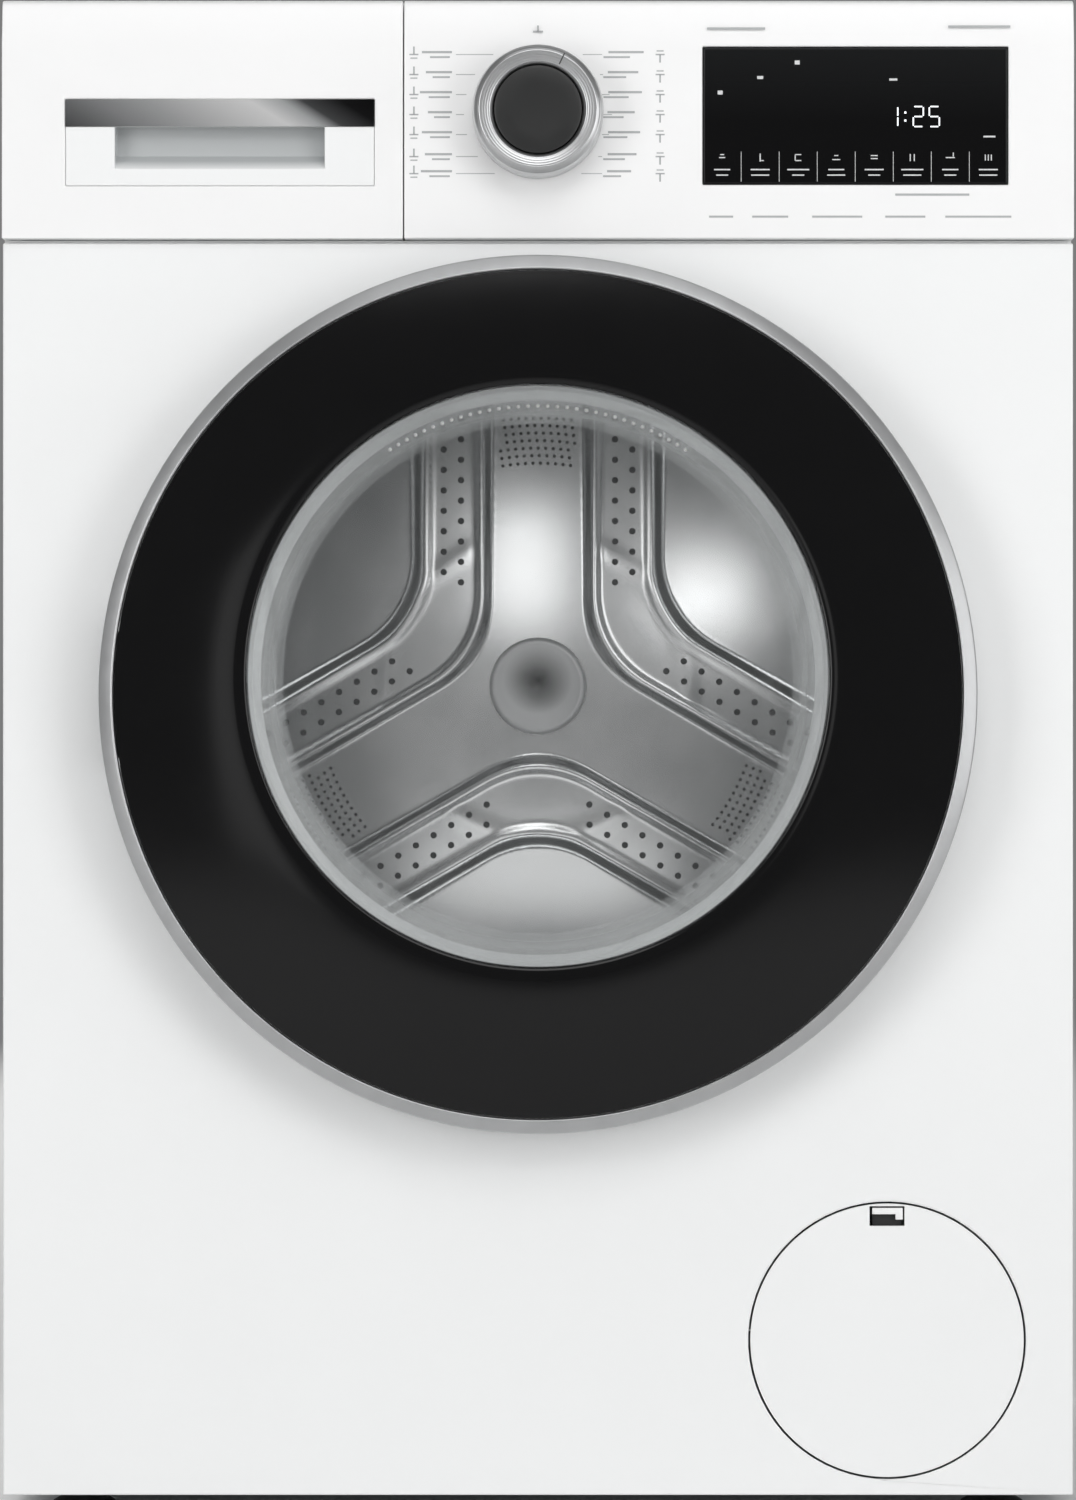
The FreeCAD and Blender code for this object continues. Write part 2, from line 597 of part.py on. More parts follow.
def drawer_tray():
    name = "drawer_tray"
    left, right = "box_wall + 18 - half_width", "split - 27"
    front = "fascia_back"
    box = block(name, (left, right), (front, "fascia_back + tray_length"), ("tray_low", "tray_top"))
    floor = "tray_low + pocket_floor"
    main = block(name, (f"{left} + 3", f"{left} + 3 + main_pocket"), (f"{front} + 5", f"{front} + tray_length - 3"),
                 (floor, "tray_top"))
    middle = f"{left} + 6 + main_pocket"
    softener = block(name, (middle, f"{middle} + softener_pocket"), (f"{front} + 5", f"{front} + 200"),
                     (floor, "tray_top"))
    far = f"{middle} + 3 + softener_pocket"
    prewash = block(name, (far, f"{far} + prewash_pocket"), (f"{front} + 5", f"{front} + tray_length - 3"),
                    (floor, "tray_top"))
    keep(name, cut(name, box, main, softener, prewash))
    name = "softener_siphon"
    inset = ("0.4", "softener_pocket - 0.4")
    lid = block(name, tuple(f"{middle} + {step}" for step in inset), (f"{front} + 8", f"{front} + 196"),
                ("tray_top - 9", "tray_top - 6"))
    rib = block(name, (f"{middle} + softener_pocket / 2 - 2", f"{middle} + softener_pocket / 2 + 2"),
                (f"{front} + 30", f"{front} + 90"), ("tray_top - 7", "tray_top + 2"))
    pipe = rod(name, "6", "Z", "tray_low + pocket_floor + 6", "tray_top - 7",
               (f"{middle} + softener_pocket / 2", f"{front} + 165"))
    keep(name, join(name, lid, rib, pipe))


def dispenser_housing():
    name = "dispenser_housing"
    left, right = "13 - half_width", "split - 22"
    front = "fascia_back + 4"
    outer = block(name, (left, right), (front, "housing_back"), ("housing_floor", "housing_top"))
    inner = block(name, (f"{left} + box_wall", f"{right} - box_wall"), (front, "housing_back - box_wall"),
                  ("housing_floor + box_wall", "housing_top - box_wall"))
    spout = rod(name, "spout_radius + 3", "Z", "housing_floor - 22", "housing_floor + 1", ("spout_across", "spout_y"))
    duct = rod(name, "12", "Y", "housing_back - 1", "rear_face - 42", ("inlet_across", "inlet_height"))
    rails = [block(name, (f"{left} + 8", f"{left} + 16"), (front, "housing_back - 1"),
                   ("housing_floor + 1", "tray_low - fit_gap")),
             block(name, (f"{right} - 16", f"{right} - 8"), (front, "housing_back - 1"),
                   ("housing_floor + 1", "tray_low - fit_gap"))]
    outside = join(name, cut(name, outer, inner), spout, duct, *rails)
    drain = rod(name, "spout_radius", "Z", "housing_floor - 22", "housing_floor + box_wall + 1",
                ("spout_across", "spout_y"))
    feed = rod(name, "10", "Y", "housing_back - box_wall - 1", "rear_face - 42", ("inlet_across", "inlet_height"))
    keep(name, cut(name, outside, drain, feed))


def inlet_valve():
    name = "inlet_valve"
    centre = ("inlet_across", "inlet_height")
    body = block(name, ("inlet_across - 20", "inlet_across + 20"), ("rear_face - 41.5", "rear_face - 2 * sheet"),
                 ("inlet_height - 20", "inlet_height + 24"))
    coil = rod(name, "14", "Z", "inlet_height + 20", "worktop_low - 2", ("inlet_across", "rear_face - 24"))
    thread = rod(name, "inlet_thread", "Y", "rear_face - 3", "half_depth", centre)
    collar = rod(name, "inlet_thread + 4", "Y", "rear_face", "rear_face + 2", centre)
    bore = rod(name, "inlet_bore", "Y", "rear_face - 10", "half_depth", centre)
    keep(name, cut(name, join(name, body, coil, thread, collar), bore))


drawer_front()
drawer_handle()
drawer_tray()
dispenser_housing()
inlet_valve()

# ---------------------------------------------------------------- door


def door_trim():
    """The silver ring round the door: a thin wall with a turned-in face."""
    name = "door_trim"
    ring = turned(name, "Y", [
        ("ring_inner", "0"),
        ("ring_outer - 3", "0"),
        ("ring_outer", "3", "3.2"),
        ("ring_outer", "ring_face - ring_gap"),
        ("ring_outer - ring_wall", "ring_face - ring_gap"),
        ("ring_outer - ring_wall", "ring_wall"),
        ("ring_inner", "ring_wall"),
    ], "0", "ring_front", "door_height")
    notch = block(name, ("0 - ring_outer - 1", "0 - ring_outer + 45"), ("ring_front + 8", "front_face"),
                  ("door_height - knuckle_half - ear_thick - 8", "door_height + knuckle_half + ear_thick + 8"))
    keep(name, cut(name, ring, notch))


def door_cover():
    """The black face: a shallow dished disc with the window set a little above its middle."""
    name = "door_cover"
    dish = turned(name, "Y", [
        ("0", "0"),
        ("cover_inner_edge", "0"),
        ("ring_inner - 0.2", "door_proud - ring_face - 0.2"),
        ("ring_inner - 0.2", "door_proud - ring_face + cover_thick"),
        ("ring_inner - 4", "door_proud - ring_face + cover_thick"),
        ("cover_inner_edge", "cover_thick"),
        ("0", "cover_thick"),
    ], "0", "door_front", "door_height")
    sleeve = rod(name, "window_radius + cover_thick", "Y", "door_front + 1", "bowl_rim_y - 5", ("0", "drum_height"))
    window = rod(name, "window_radius", "Y", "door_front - 1", "bowl_rim_y", ("0", "drum_height"))
    keep(name, cut(name, join(name, dish, sleeve), window))


def door_bowl():
    """The glass bowl: a flange, a tapering wall and a domed end that reaches into the drum's mouth."""
    inside = "bowl_back - glass_thick - bowl_corner"
    outside = "bowl_back - bowl_corner"
    far_side = "bowl_rim + bowl_depth"
    steps = (0.8, 0.55, 0.3)
    inner_dome = [(f"({inside}) * {f}", f"{far_side} - glass_thick + bowl_dome * {1 - f * f}") for f in steps]
    outer_dome = [(f"({outside}) * {f}", f"{far_side} + bowl_dome * {1 - f * f}") for f in reversed(steps)]
    keep("door_bowl", turned("door_bowl", "Y", [
        ("bowl_flange", "0"),
        ("bowl_flange", "0 - glass_thick"),
        ("window_radius - 2", "0 - glass_thick"),
        ("bowl_back - glass_thick", f"{far_side} - bowl_corner"),
        (inside, f"{far_side} - glass_thick", "bowl_corner"),
        *inner_dome,
        ("0", f"{far_side} + bowl_dome - glass_thick"),
        ("0", f"{far_side} + bowl_dome"),
        *outer_dome,
        (outside, far_side),
        ("bowl_back", f"{far_side} - bowl_corner", "0 - bowl_corner * 1.05"),
        ("window_radius + 2", "0"),
    ], "0", "bowl_rim_y", "drum_height"))


def door_frame():
    """The door's rear plate, with the ring that holds the glass and the cheeks that hold the hook."""
    name = "door_frame"
    plate = rod(name, "frame_radius", "Y", "frame_back - 3", "frame_back", ("0", "door_height"))
    wall = tube(name, "frame_radius", "frame_radius - 3", "Y", "ring_front + 11", "frame_back", ("0", "door_height"))
    clamp = rod(name, "bowl_flange", "Y", "bowl_rim_y + fit_gap", "frame_back", ("0", "drum_height"))
    cheeks = [block(name, ("hook_across - 7", "frame_radius - 1"), ("hook_y - 6", "frame_back - 2"), height)
              for height in (("door_height + 1", "door_height + 6"), ("door_height + 34", "door_height + 39"))]
    body = join(name, plate, wall, clamp, *cheeks)
    hole = rod(name, "window_radius + 6", "Y", "bowl_rim_y - 1", "frame_back + 1", ("0", "drum_height"))
    slot = block(name, ("hook_across - 8", "hook_across + 10"), ("hook_y - 8", "frame_back + 1"),
                 ("door_height + 6", "door_height + 34"))
    notch = block(name, ("0 - ring_outer", "0 - ring_outer + 36"), ("ring_front", "front_face"),
                  ("door_height - knuckle_half - ear_thick - 8", "door_height + knuckle_half + ear_thick + 8"))
    bore = rod(name, "hook_pin + hinge_clear", "Z", "door_height", "door_height + 40", ("hook_across", "hook_y"))
    keep(name, cut(name, body, hole, slot, notch, bore))


def door_hinge():
    """The hinge: a bracket with two cranked ears and its riveted pin, and the arm on the door."""
    name = "hinge_bracket"
    centre = ("hinge_x", "hinge_y")
    ends = "(knuckle_half + ear_gap)"
    foot_x = "hinge_x + 22"
    plate = block(name, ("hinge_x + 14", "hinge_x + 40"), ("front_face - 2.5", "front_face"),
                  (f"door_height - {ends} - ear_thick", f"door_height + {ends} + ear_thick"))
    ears = []
    for low, high in ((f"door_height - {ends} - ear_thick", f"door_height - {ends}"),
                      (f"door_height + {ends}", f"door_height + {ends} + ear_thick")):
        ears.append(rod(name, "knuckle", "Z", low, high, centre))
        ears.append(drawn(name, "Z", [
            ("hinge_x - 3", "hinge_y + 4"),
            ("hinge_x + 3", "hinge_y - 4"),
            (f"{foot_x} + 6", "front_face - 1"),
            (f"{foot_x} - 6", "front_face - 1"),
        ], low, high))
    pin = rod(name, "hinge_pin_radius", "Z", f"door_height - {ends} - ear_thick - 1",
              f"door_height + {ends} + ear_thick + 1", centre)
    keep(name, join(name, plate, *ears, pin))
    name = "hinge_arm"
    barrel = rod(name, "knuckle", "Z", "door_height - knuckle_half", "door_height + knuckle_half", centre)
    arm = block(name, ("hinge_x", "hinge_x + 46"), ("hinge_y - 3", "hinge_y + 3"),
                ("door_height - knuckle_half + 3", "door_height + knuckle_half - 3"))
    riser = block(name, ("hinge_x + 31", "hinge_x + 46"), ("hinge_y", "frame_back - 3"),
                  ("door_height - knuckle_half + 3", "door_height + knuckle_half - 3"))
    bore = rod(name, "hinge_pin_radius + hinge_clear", "Z", "door_height - knuckle_half - 1",
               "door_height + knuckle_half + 1", centre)
    keep(name, cut(name, join(name, barrel, arm, riser), bore))


def door_hook():
    name = "door_hook"
    z = ("door_height + 6.5", "door_height + 33.5")
    body = block(name, ("hook_across - 4", "hook_across + 4"), ("hook_y - 4", "front_face + 22"), z)
    barb = block(name, ("hook_across + 3", "hook_across + 8"), ("front_face + 17", "front_face + 22"), z)
    pin = rod(name, "hook_pin", "Z", "door_height + 2", "door_height + 38", ("hook_across", "hook_y"))
    keep(name, join(name, body, barb, pin))
    name = "door_lock"
    case = block(name, ("hook_across - 13", "half_width - 50"), ("front_face + sheet + 0.2", "front_face + 34"),
                 ("door_height - 20", "door_height + 60"))
    throat = lock_slot(name, "front_face", "front_face + 29")
    keep(name, cut(name, case, throat))


def door_gasket():
    """The rubber bellows: it grips the panel's lip and the tub's collar, and its lip meets the glass."""
    collar = "collar_radius + collar_wall + 0.2"
    lip_end = "lip_depth + 0.3"
    rear = "tub_front_in - collar_length"
    keep("door_gasket", turned("door_gasket", "Y", [
        ("door_hole - 0.3", "0 - 1"),
        ("door_hole - 0.3", lip_end),
        ("door_hole + sheet + 0.3", lip_end),
        ("door_hole + sheet + 0.3", "4"),
        ("door_hole + sheet + 0.3 + rubber", "4"),
        ("door_hole + sheet + 0.3 + rubber", f"{lip_end} + rubber"),
        ("gasket_bulge", "24"),
        ("gasket_bulge", "36"),
        (f"{collar} + rubber", f"{rear} - 4"),
        (f"{collar} + rubber", f"{rear} + 8"),
        (collar, f"{rear} + 8"),
        (collar, f"{rear} - 0.3"),
        ("collar_radius - 1", f"{rear} - 0.3"),
        ("collar_radius - 1", f"{rear} - 0.3 - rubber"),
        (f"{collar} - 1", f"{rear} - 1 - rubber"),
        ("gasket_bulge - rubber", "34"),
        ("gasket_bulge - rubber", "26"),
        ("door_hole - 2", "20"),
        ("gasket_lip", "25"),
        ("gasket_lip", "21.5"),
        ("door_hole - 0.3 - rubber", "14"),
        ("door_hole - 0.3 - rubber", "0 - 1"),
    ], "0", "front_face", "drum_height"))


door_trim()
door_cover()
door_bowl()
door_frame()
door_hinge()
door_hook()
door_gasket()

# ---------------------------------------------------------------- tub


def tub_bolt_holes(name, radius, low, high):
    """Round bars at the bolts' places, clear of the tub's side lugs."""
    bars = []
    for k in range(SIZES["tub_bolts_count"]):
        angle = (k + 0.5) * 360 / SIZES["tub_bolts_count"]
        bars.append(rod(name, radius, "Y", low, high,
                        (f"(tub_outer + tub_flange) / 2 * cos({angle})",
                         f"drum_height + (tub_outer + tub_flange) / 2 * sin({angle})")))
    return bars


def tub_front():
    name = "tub_front"
    shell = turned(name, "Y", [
        ("tub_inner", "tub_split_in"),
        ("tub_flange", "tub_split_in"),
        ("tub_flange", "tub_split_in - 6"),
        ("tub_outer", "tub_split_in - 6"),
        ("tub_outer", "tub_front_in - 5"),
        ("collar_radius + collar_wall", "tub_front_in - 5"),
        ("collar_radius + collar_wall", "tub_front_in - collar_length"),
        ("collar_radius", "tub_front_in - collar_length"),
        ("collar_radius", "tub_front_in"),
        ("tub_inner", "tub_front_in"),
    ], "0", "front_face", "drum_height")
    stub = rod(name, "hose_radius - 0.2", "Z", "drum_height - tub_inner + 24", "drum_height",
               ("sump_hose_across", "sump_hose_y"))
    spout = cut(name, stub, rod(name, "hose_radius - 3", "Z", "drum_height - tub_inner + 24", "drum_height",
                                ("sump_hose_across", "sump_hose_y")))
    cavity = rod(name, "tub_inner", "Y", "tub_front", "tub_split", ("0", "drum_height"))
    drilled = rod(name, "hose_radius - 3", "Z", "drum_height - tub_inner + 24", "drum_height",
                  ("sump_hose_across", "sump_hose_y"))
    holes = tub_bolt_holes(name, "tub_bolt + 0.1", "tub_split - 6", "tub_split")
    keep(name, cut(name, join(name, shell, spout), cavity, drilled, *holes))


def tub_rear():
    name = "tub_rear"
    shell = turned(name, "Y", [
        ("tub_inner", "tub_split_in"),
        ("tub_flange", "tub_split_in"),
        ("tub_flange", "tub_split_in + 6"),
        ("tub_outer", "tub_split_in + 6"),
        ("tub_outer", "tub_back_in"),
        ("hub_outer", "tub_back_in"),
        ("hub_outer", "hub_end_in"),
        ("bearing_outer", "hub_end_in"),
        ("bearing_outer", "tub_back_in - 15"),
        ("hub_outer", "tub_back_in - 15"),
        ("hub_outer", "tub_back_in - tub_back_wall"),
        ("tub_inner", "tub_back_in - tub_back_wall"),
    ], "0", "front_face", "drum_height")
    sump = block(name, ("0 - sump_half", "sump_half"), ("tub_split + 70", "tub_back - 14"),
                 ("sump_low", "drum_height - tub_inner + 20"))
    well = block(name, ("4 - sump_half", "sump_half - 4"), ("tub_split + 74", "tub_back - 18"),
                 ("sump_low + 4", "drum_height - tub_inner + 30"))
    lugs = [block(name, span("64", "76", side), ("tub_back - 14", "tub_back - 1"),
                  ("motor_height + 15", "drum_height - tub_inner + 20")) for side in (-1, 1)]
    feet = [block(name, span("damper_across - 10", "damper_across + 10", side), ("damper_y - 10", "damper_y + 10"),
                  ("drum_height - tub_inner + 45", "drum_height - tub_inner + 90")) for side in (-1, 1)]
    ears = [block(name, span("spring_across - 9", "spring_across + 9", side), ("spring_y - 14", "spring_y + 14"),
                  ("drum_height + 110", "spring_low - 2")) for side in (-1, 1)]
    pegs = [rod(name, "spring_coil - spring_wire - 1", "Z", "spring_low - 4", "spring_low + 8",
                (mirrored("spring_across", side), "spring_y")) for side in (-1, 1)]
    inlet = rod(name, "spout_radius + 3", "Z", "drum_height + 150", "drum_height + 208", ("spout_across", "spout_y"))
    body = join(name, shell, sump, *lugs, *feet, *ears, *pegs, inlet)
    cavity = rod(name, "tub_inner", "Y", "tub_split", "tub_back - tub_back_wall", ("0", "drum_height"))
    hub = rod(name, "hub_outer", "Y", "tub_back - 15", "hub_end", ("0", "drum_height"))
    bore = rod(name, "bearing_outer", "Y", "tub_split", "hub_end", ("0", "drum_height"))
    hollow = cut(name, body, well, cavity)
    housing = join(name, hollow, hub)
    drilled = rod(name, "spout_radius", "Z", "drum_height + 140", "drum_height + 210", ("spout_across", "spout_y"))
    seats = [rod(name, "damper_rod", "Z", "drum_height - tub_inner + 30", "drum_height - tub_inner + 62",
                 (mirrored("damper_across", side), "damper_y")) for side in (-1, 1)]
    heater_port = block(name, ("-52", "52"), ("tub_back - 20", "tub_back - 12"), ("sump_low + 8", "sump_low + 32"))
    holes = tub_bolt_holes(name, "tub_bolt + 0.1", "tub_split", "tub_split + 6")
    keep(name, cut(name, housing, bore, drilled, heater_port, *seats, *holes))


def tub_bolts():
    name = "tub_bolts"
    group = add("Part::Compound", name)
    shanks = tub_bolt_holes(name, "tub_bolt", "tub_split - 8", "tub_split + 8")
    heads = tub_bolt_holes(name, "tub_bolt + 1.4", "tub_split - 10", "tub_split - 6")
    nuts = tub_bolt_holes(name, "tub_bolt + 1.4", "tub_split + 6", "tub_split + 8.5")
    group.Links = [join(name, *bolt) for bolt in zip(shanks, heads, nuts)]
    keep(name, group)


def bearings():
    name = "bearings"
    inner = "shaft_radius + shaft_clear"
    centre = ("0", "drum_height")
    front = tube(name, "bearing_outer", inner, "Y", "tub_back - 9", "tub_back - 9 + bearing_width", centre)
    rear = tube(name, "bearing_outer", inner, "Y", "hub_end - bearing_width - 2", "hub_end - 2", centre)
    seal = tube(name, "bearing_outer", inner, "Y", "tub_back - 15", "tub_back - 10", centre)
    group = add("Part::Compound", name)
    group.Links = [front, rear, seal]
    keep(name, group)


def counterweights():
    """Two concrete arcs bolted round the tub's mouth, above and below it."""
    name = "counterweights"
    front, back = "tub_front - 5 - weight_thick", "tub_front - 5"
    halves = []
    for side in (1, -1):
        ring = tube(name, "weight_outer", "weight_inner", "Y", front, back, ("0", "drum_height"))
        edge = "drum_height + " + ("" if side > 0 else "0 - ") + "weight_inner * sin(weight_gap_angle)"
        zone = ((edge, "drum_height + weight_outer + 1") if side > 0
                else ("drum_height - weight_outer - 1", edge))
        half = add("Part::Common", name)
        half.Base = ring
        half.Tool = block(name, ("0 - weight_outer - 1", "weight_outer + 1"), (front, back), zone)
        halves.append(half)
    hose_room = rod(name, "hose_radius + 14", "Z", "drum_height - weight_outer - 5", "drum_height - 60",
                    ("sump_hose_across", "sump_hose_y"))
    halves[1] = cut(name, halves[1], hose_room)
    group = add("Part::Compound", name)
    group.Links = halves
    keep(name, group)


def heater():
    name = "heater"
    level = "sump_low + 20"
    back = "tub_back - 18"
    legs = [rod(name, "heater_tube", "Y", "tub_split + 84", back, (mirrored("heater_spread", side), level))
            for side in (-1, 1)]
    bend = rod(name, "heater_tube", "X", "0 - heater_spread", "heater_spread", ("tub_split + 84", level))
    corners = []
    for side in (-1, 1):
        ball = add("Part::Sphere", name)
        bind(ball, "Radius", "heater_tube")
        place(ball, mirrored("heater_spread", side), "tub_split + 84", level)
        corners.append(ball)
    plug = block(name, ("-51", "51"), ("tub_back - 19", "tub_back - 13"), ("sump_low + 9", "sump_low + 31"))
    tags = [block(name, span("heater_spread - 3", "heater_spread + 3", side), ("tub_back - 14", "tub_back - 2"),
                  (f"{level} - 0.4", f"{level} + 0.4")) for side in (-1, 1)]
    keep(name, join(name, *legs, bend, *corners, plug, *tags))


tub_front()
tub_rear()
tub_bolts()
bearings()
counterweights()
heater()

# ---------------------------------------------------------------- drum


def drum_shell():
    """The rolled wall with its rounded front ring and the flange that carries the rear wall."""
    keep("drum_shell", turned("drum_shell", "Y", [
        ("drum_radius", "drum_front_in + 12", "12.5"),
        ("drum_radius", "drum_back_in"),
        ("drum_radius - drum_wall", "drum_back_in"),
        ("drum_radius - drum_wall", "drum_front_in + 12"),
        ("drum_radius - 12", "drum_front_in + drum_wall", "0 - 11.5"),
        ("drum_mouth + 4", "drum_front_in + drum_wall"),
        ("drum_mouth + 4", "drum_front_in + 8"),
        ("drum_mouth", "drum_front_in + 8"),
        ("drum_mouth", "drum_front_in + 4"),
        ("drum_mouth + 4", "drum_front_in", "4.3"),
        ("drum_radius - 12", "drum_front_in"),
    ], "0", "front_face", "drum_height"))


def chevron(name, turn):
    """A bent channel between two arms of the rear wall's star, open towards one third of it."""
    near, far = "arm_half", "chevron_far"
    slant = "tan(30)"
    reach = "drum_radius * 0.80"

    def line(offset, across):
        return f"0 - {offset} / cos(30) - abs({across}) * {slant}"

    strip = drawn(name, "Y", [
        (f"0 - {reach}", line(near, reach)),
        ("0", line(near, "0")),
        (reach, line(near, reach)),
        (reach, line(far, reach)),
        ("0", line(far, "0")),
        (f"0 - {reach}", line(far, reach)),
    ], "0 - emboss", "1")
    strip.Placement.Rotation = FreeCAD.Rotation(Vector(0, 1, 0), turn)
    place(strip, "0", "drum_back", "drum_height")
    return strip


def drum_back():
    name = "drum_back"
    centre = ("0", "drum_height")
    disc = rod(name, "drum_radius - drum_wall - 0.1", "Y", "drum_back - 2", "drum_back", centre)
    strips = join(name, *[chevron(name, turn) for turn in (0, 120, 240)])
    round_edge = rod(name, "drum_radius * 0.86", "Y", "drum_back - 12", "drum_back + 12", centre)
    trimmed = add("Part::Common", name)
    trimmed.Base = strips
    trimmed.Tool = round_edge
    hole = rod(name, "spider_hub - 18", "Y", "drum_back - 12", "drum_back + 12", centre)
    keep(name, cut(name, join(name, disc, trimmed), hole))


def lifters():
    """Three hollow paddles along the drum wall."""
    name = "lifters"
    group = add("Part::Compound", name)
    paddles = []
    for k in range(3):
        wall = "drum_radius - drum_wall - 0.5"
        paddle = drawn(name, "Y", [
            ("0 - lifter_foot / 2", f"8 - ({wall})"),
            ("lifter_foot / 2", f"8 - ({wall})"),
            ("lifter_crest / 2", f"lifter_height - ({wall})"),
            ("0 - lifter_crest / 2", f"lifter_height - ({wall})", "lifter_crest"),
        ], "drum_front_in + 26", "drum_back_in - 14")
        seat = rod(name, wall, "Y", "drum_front_in + 20", "drum_back_in", ("0", "0"))
        base = block(name, ("0 - lifter_foot / 2", "lifter_foot / 2"), ("drum_front_in + 26", "drum_back_in - 14"),
                     (f"0 - ({wall})", f"9 - ({wall})"))
        trimmed = add("Part::Common", name)
        trimmed.Base = join(name, paddle, base)
        trimmed.Tool = seat
        trimmed.Placement.Rotation = FreeCAD.Rotation(Vector(0, 1, 0), 60 + 120 * k)
        place(trimmed, "0", "front_face", "drum_height")
        paddles.append(trimmed)
    group.Links = paddles
    keep(name, group)


def drum_spider():
    """The cast three-armed carrier behind the drum, with its shaft."""
    name = "drum_spider"
    front = "drum_back + 0.5"
    centre = ("0", "drum_height")
    boss = rod(name, "spider_hub", "Y", "drum_back + 0.5", "drum_back + 34", centre)
    arms = []
    for k in range(3):
        arm = add("Part::Box", name)
        bind(arm, "Length", "spider_arm")
        bind(arm, "Width", "spider_thick")
        bind(arm, "Height", "drum_radius - 6")
        arm.Placement.Rotation = FreeCAD.Rotation(Vector(0, 1, 0), 120 * k)
        angle = 120 * k
        place(arm, f"0 - spider_arm / 2 * cos({angle})", front, f"drum_height + spider_arm / 2 * sin({angle})")
        arms.append(arm)
    shaft = rod(name, "shaft_radius", "Y", "drum_back + 10", "belt_high + 2", centre)
    nose = rod(name, "8", "Y", "belt_high", "belt_high + 12", centre)
    keep(name, join(name, boss, *arms, shaft, nose))


def hub_cap():
    """The dished cap over the drum's hub."""
    dish = [(f"(hub_cap_radius - 5) * {f}", f"0 - 3 - 7 * {f * f}") for f in (0.4, 0.7)]
    keep("hub_cap", turned("hub_cap", "Y", [
        ("0", "0 - 3"),
        *dish,
        ("hub_cap_radius - 5", "0 - 10"),
        ("hub_cap_radius", "0 - 6", "5"),
        ("hub_cap_radius", "0 - 2"),
        ("0", "0 - 2"),
    ], "0", "drum_back", "drum_height"))


def drum_pulley():
    name = "drum_pulley"
    centre = ("0", "drum_height")
    rim = tube(name, "drum_pulley", "drum_pulley - 9", "Y", "belt_low - 1", "belt_high + 1", centre)
    hub = rod(name, "26", "Y", "belt_low - 4", "belt_high + 2", centre)
    spokes = []
    for k in range(6):
        spoke = add("Part::Box", name)
        spoke.Length = 12
        spoke.Width = 6
        bind(spoke, "Height", "drum_pulley - 5")
        angle = 60 * k
        spoke.Placement.Rotation = FreeCAD.Rotation(Vector(0, 1, 0), angle)
        place(spoke, f"0 - 6 * cos({angle})", "(belt_low + belt_high) / 2 - 3", f"drum_height + 6 * sin({angle})")
        spokes.append(spoke)
    bore = rod(name, "shaft_radius", "Y", "belt_low - 5", "belt_high + 3", centre)
    keep(name, cut(name, join(name, rim, hub, *spokes), bore))


drum_shell()
drum_back()
lifters()
drum_spider()
hub_cap()
drum_pulley()

# ---------------------------------------------------------------- motor and belt


def motor():
    name = "motor_housing"
    centre = ("0", "motor_height")
    case = tube(name, "motor_radius", "motor_radius - 4", "Y", "motor_front", "motor_back", centre)
    front = rod(name, "motor_radius", "Y", "motor_front", "motor_front + 5", centre)
    back = rod(name, "motor_radius", "Y", "motor_back - 5", "motor_back", centre)
    stator = tube(name, "motor_radius - 3", "motor_radius - 22", "Y", "motor_front + 25", "motor_back - 25", centre)
    ears = block(name, ("-76", "76"), ("tub_back", "tub_back + 6"), ("motor_height + 18", "motor_height + 42"))
    core = rod(name, "motor_radius - 22", "Y", "motor_front + 4", "motor_back - 5", centre)
    bore = rod(name, "6 + shaft_clear", "Y", "motor_front - 1", "motor_back + 1", centre)
    body = cut(name, join(name, case, front, back, stator, ears), core, bore)
    keep(name, body)
    name = "motor_rotor"
    core = rod(name, "motor_radius - 23", "Y", "motor_front + 30", "motor_back - 30", centre)
    shaft = rod(name, "6", "Y", "motor_front + 1", "belt_high + 2", centre)
    pulley = rod(name, "motor_pulley", "Y", "belt_low - 1", "belt_high + 1", centre)
    keep(name, join(name, core, shaft, pulley))


def drive_belt():
    """The belt: two wraps and the two straight runs that touch both pulleys."""
    rise = value("drum_height - motor_height")
    big = value("drum_pulley + belt_clear")
    small = value("motor_pulley + belt_clear")
    thick = value("belt_thick")
    low, high = value("belt_low"), value("belt_high")

    def loop(extra):
        """The closed line round both pulleys at a distance from their faces."""
        upper, lower = big + extra, small + extra
        tilt = math.asin((upper - lower) / rise)
        top = Vector(0, low, value("drum_height"))
        foot = Vector(0, low, value("motor_height"))
        right = Vector(math.cos(tilt), 0, -math.sin(tilt))
        left = Vector(-right.x, 0, right.z)
        edges = [
            Part.Arc(top + left * upper, top + Vector(0, 0, upper), top + right * upper).toShape(),
            Part.LineSegment(top + right * upper, foot + right * lower).toShape(),
            Part.Arc(foot + right * lower, foot + Vector(0, 0, -lower), foot + left * lower).toShape(),
            Part.LineSegment(foot + left * lower, top + left * upper).toShape(),
        ]
        return Part.Face(Part.Wire(edges)).extrude(Vector(0, high - low, 0))

    belt = add("Part::Feature", "drive_belt")
    belt.Shape = loop(thick).cut(loop(0))
    keep("drive_belt", belt)


motor()
drive_belt()

# ---------------------------------------------------------------- suspension


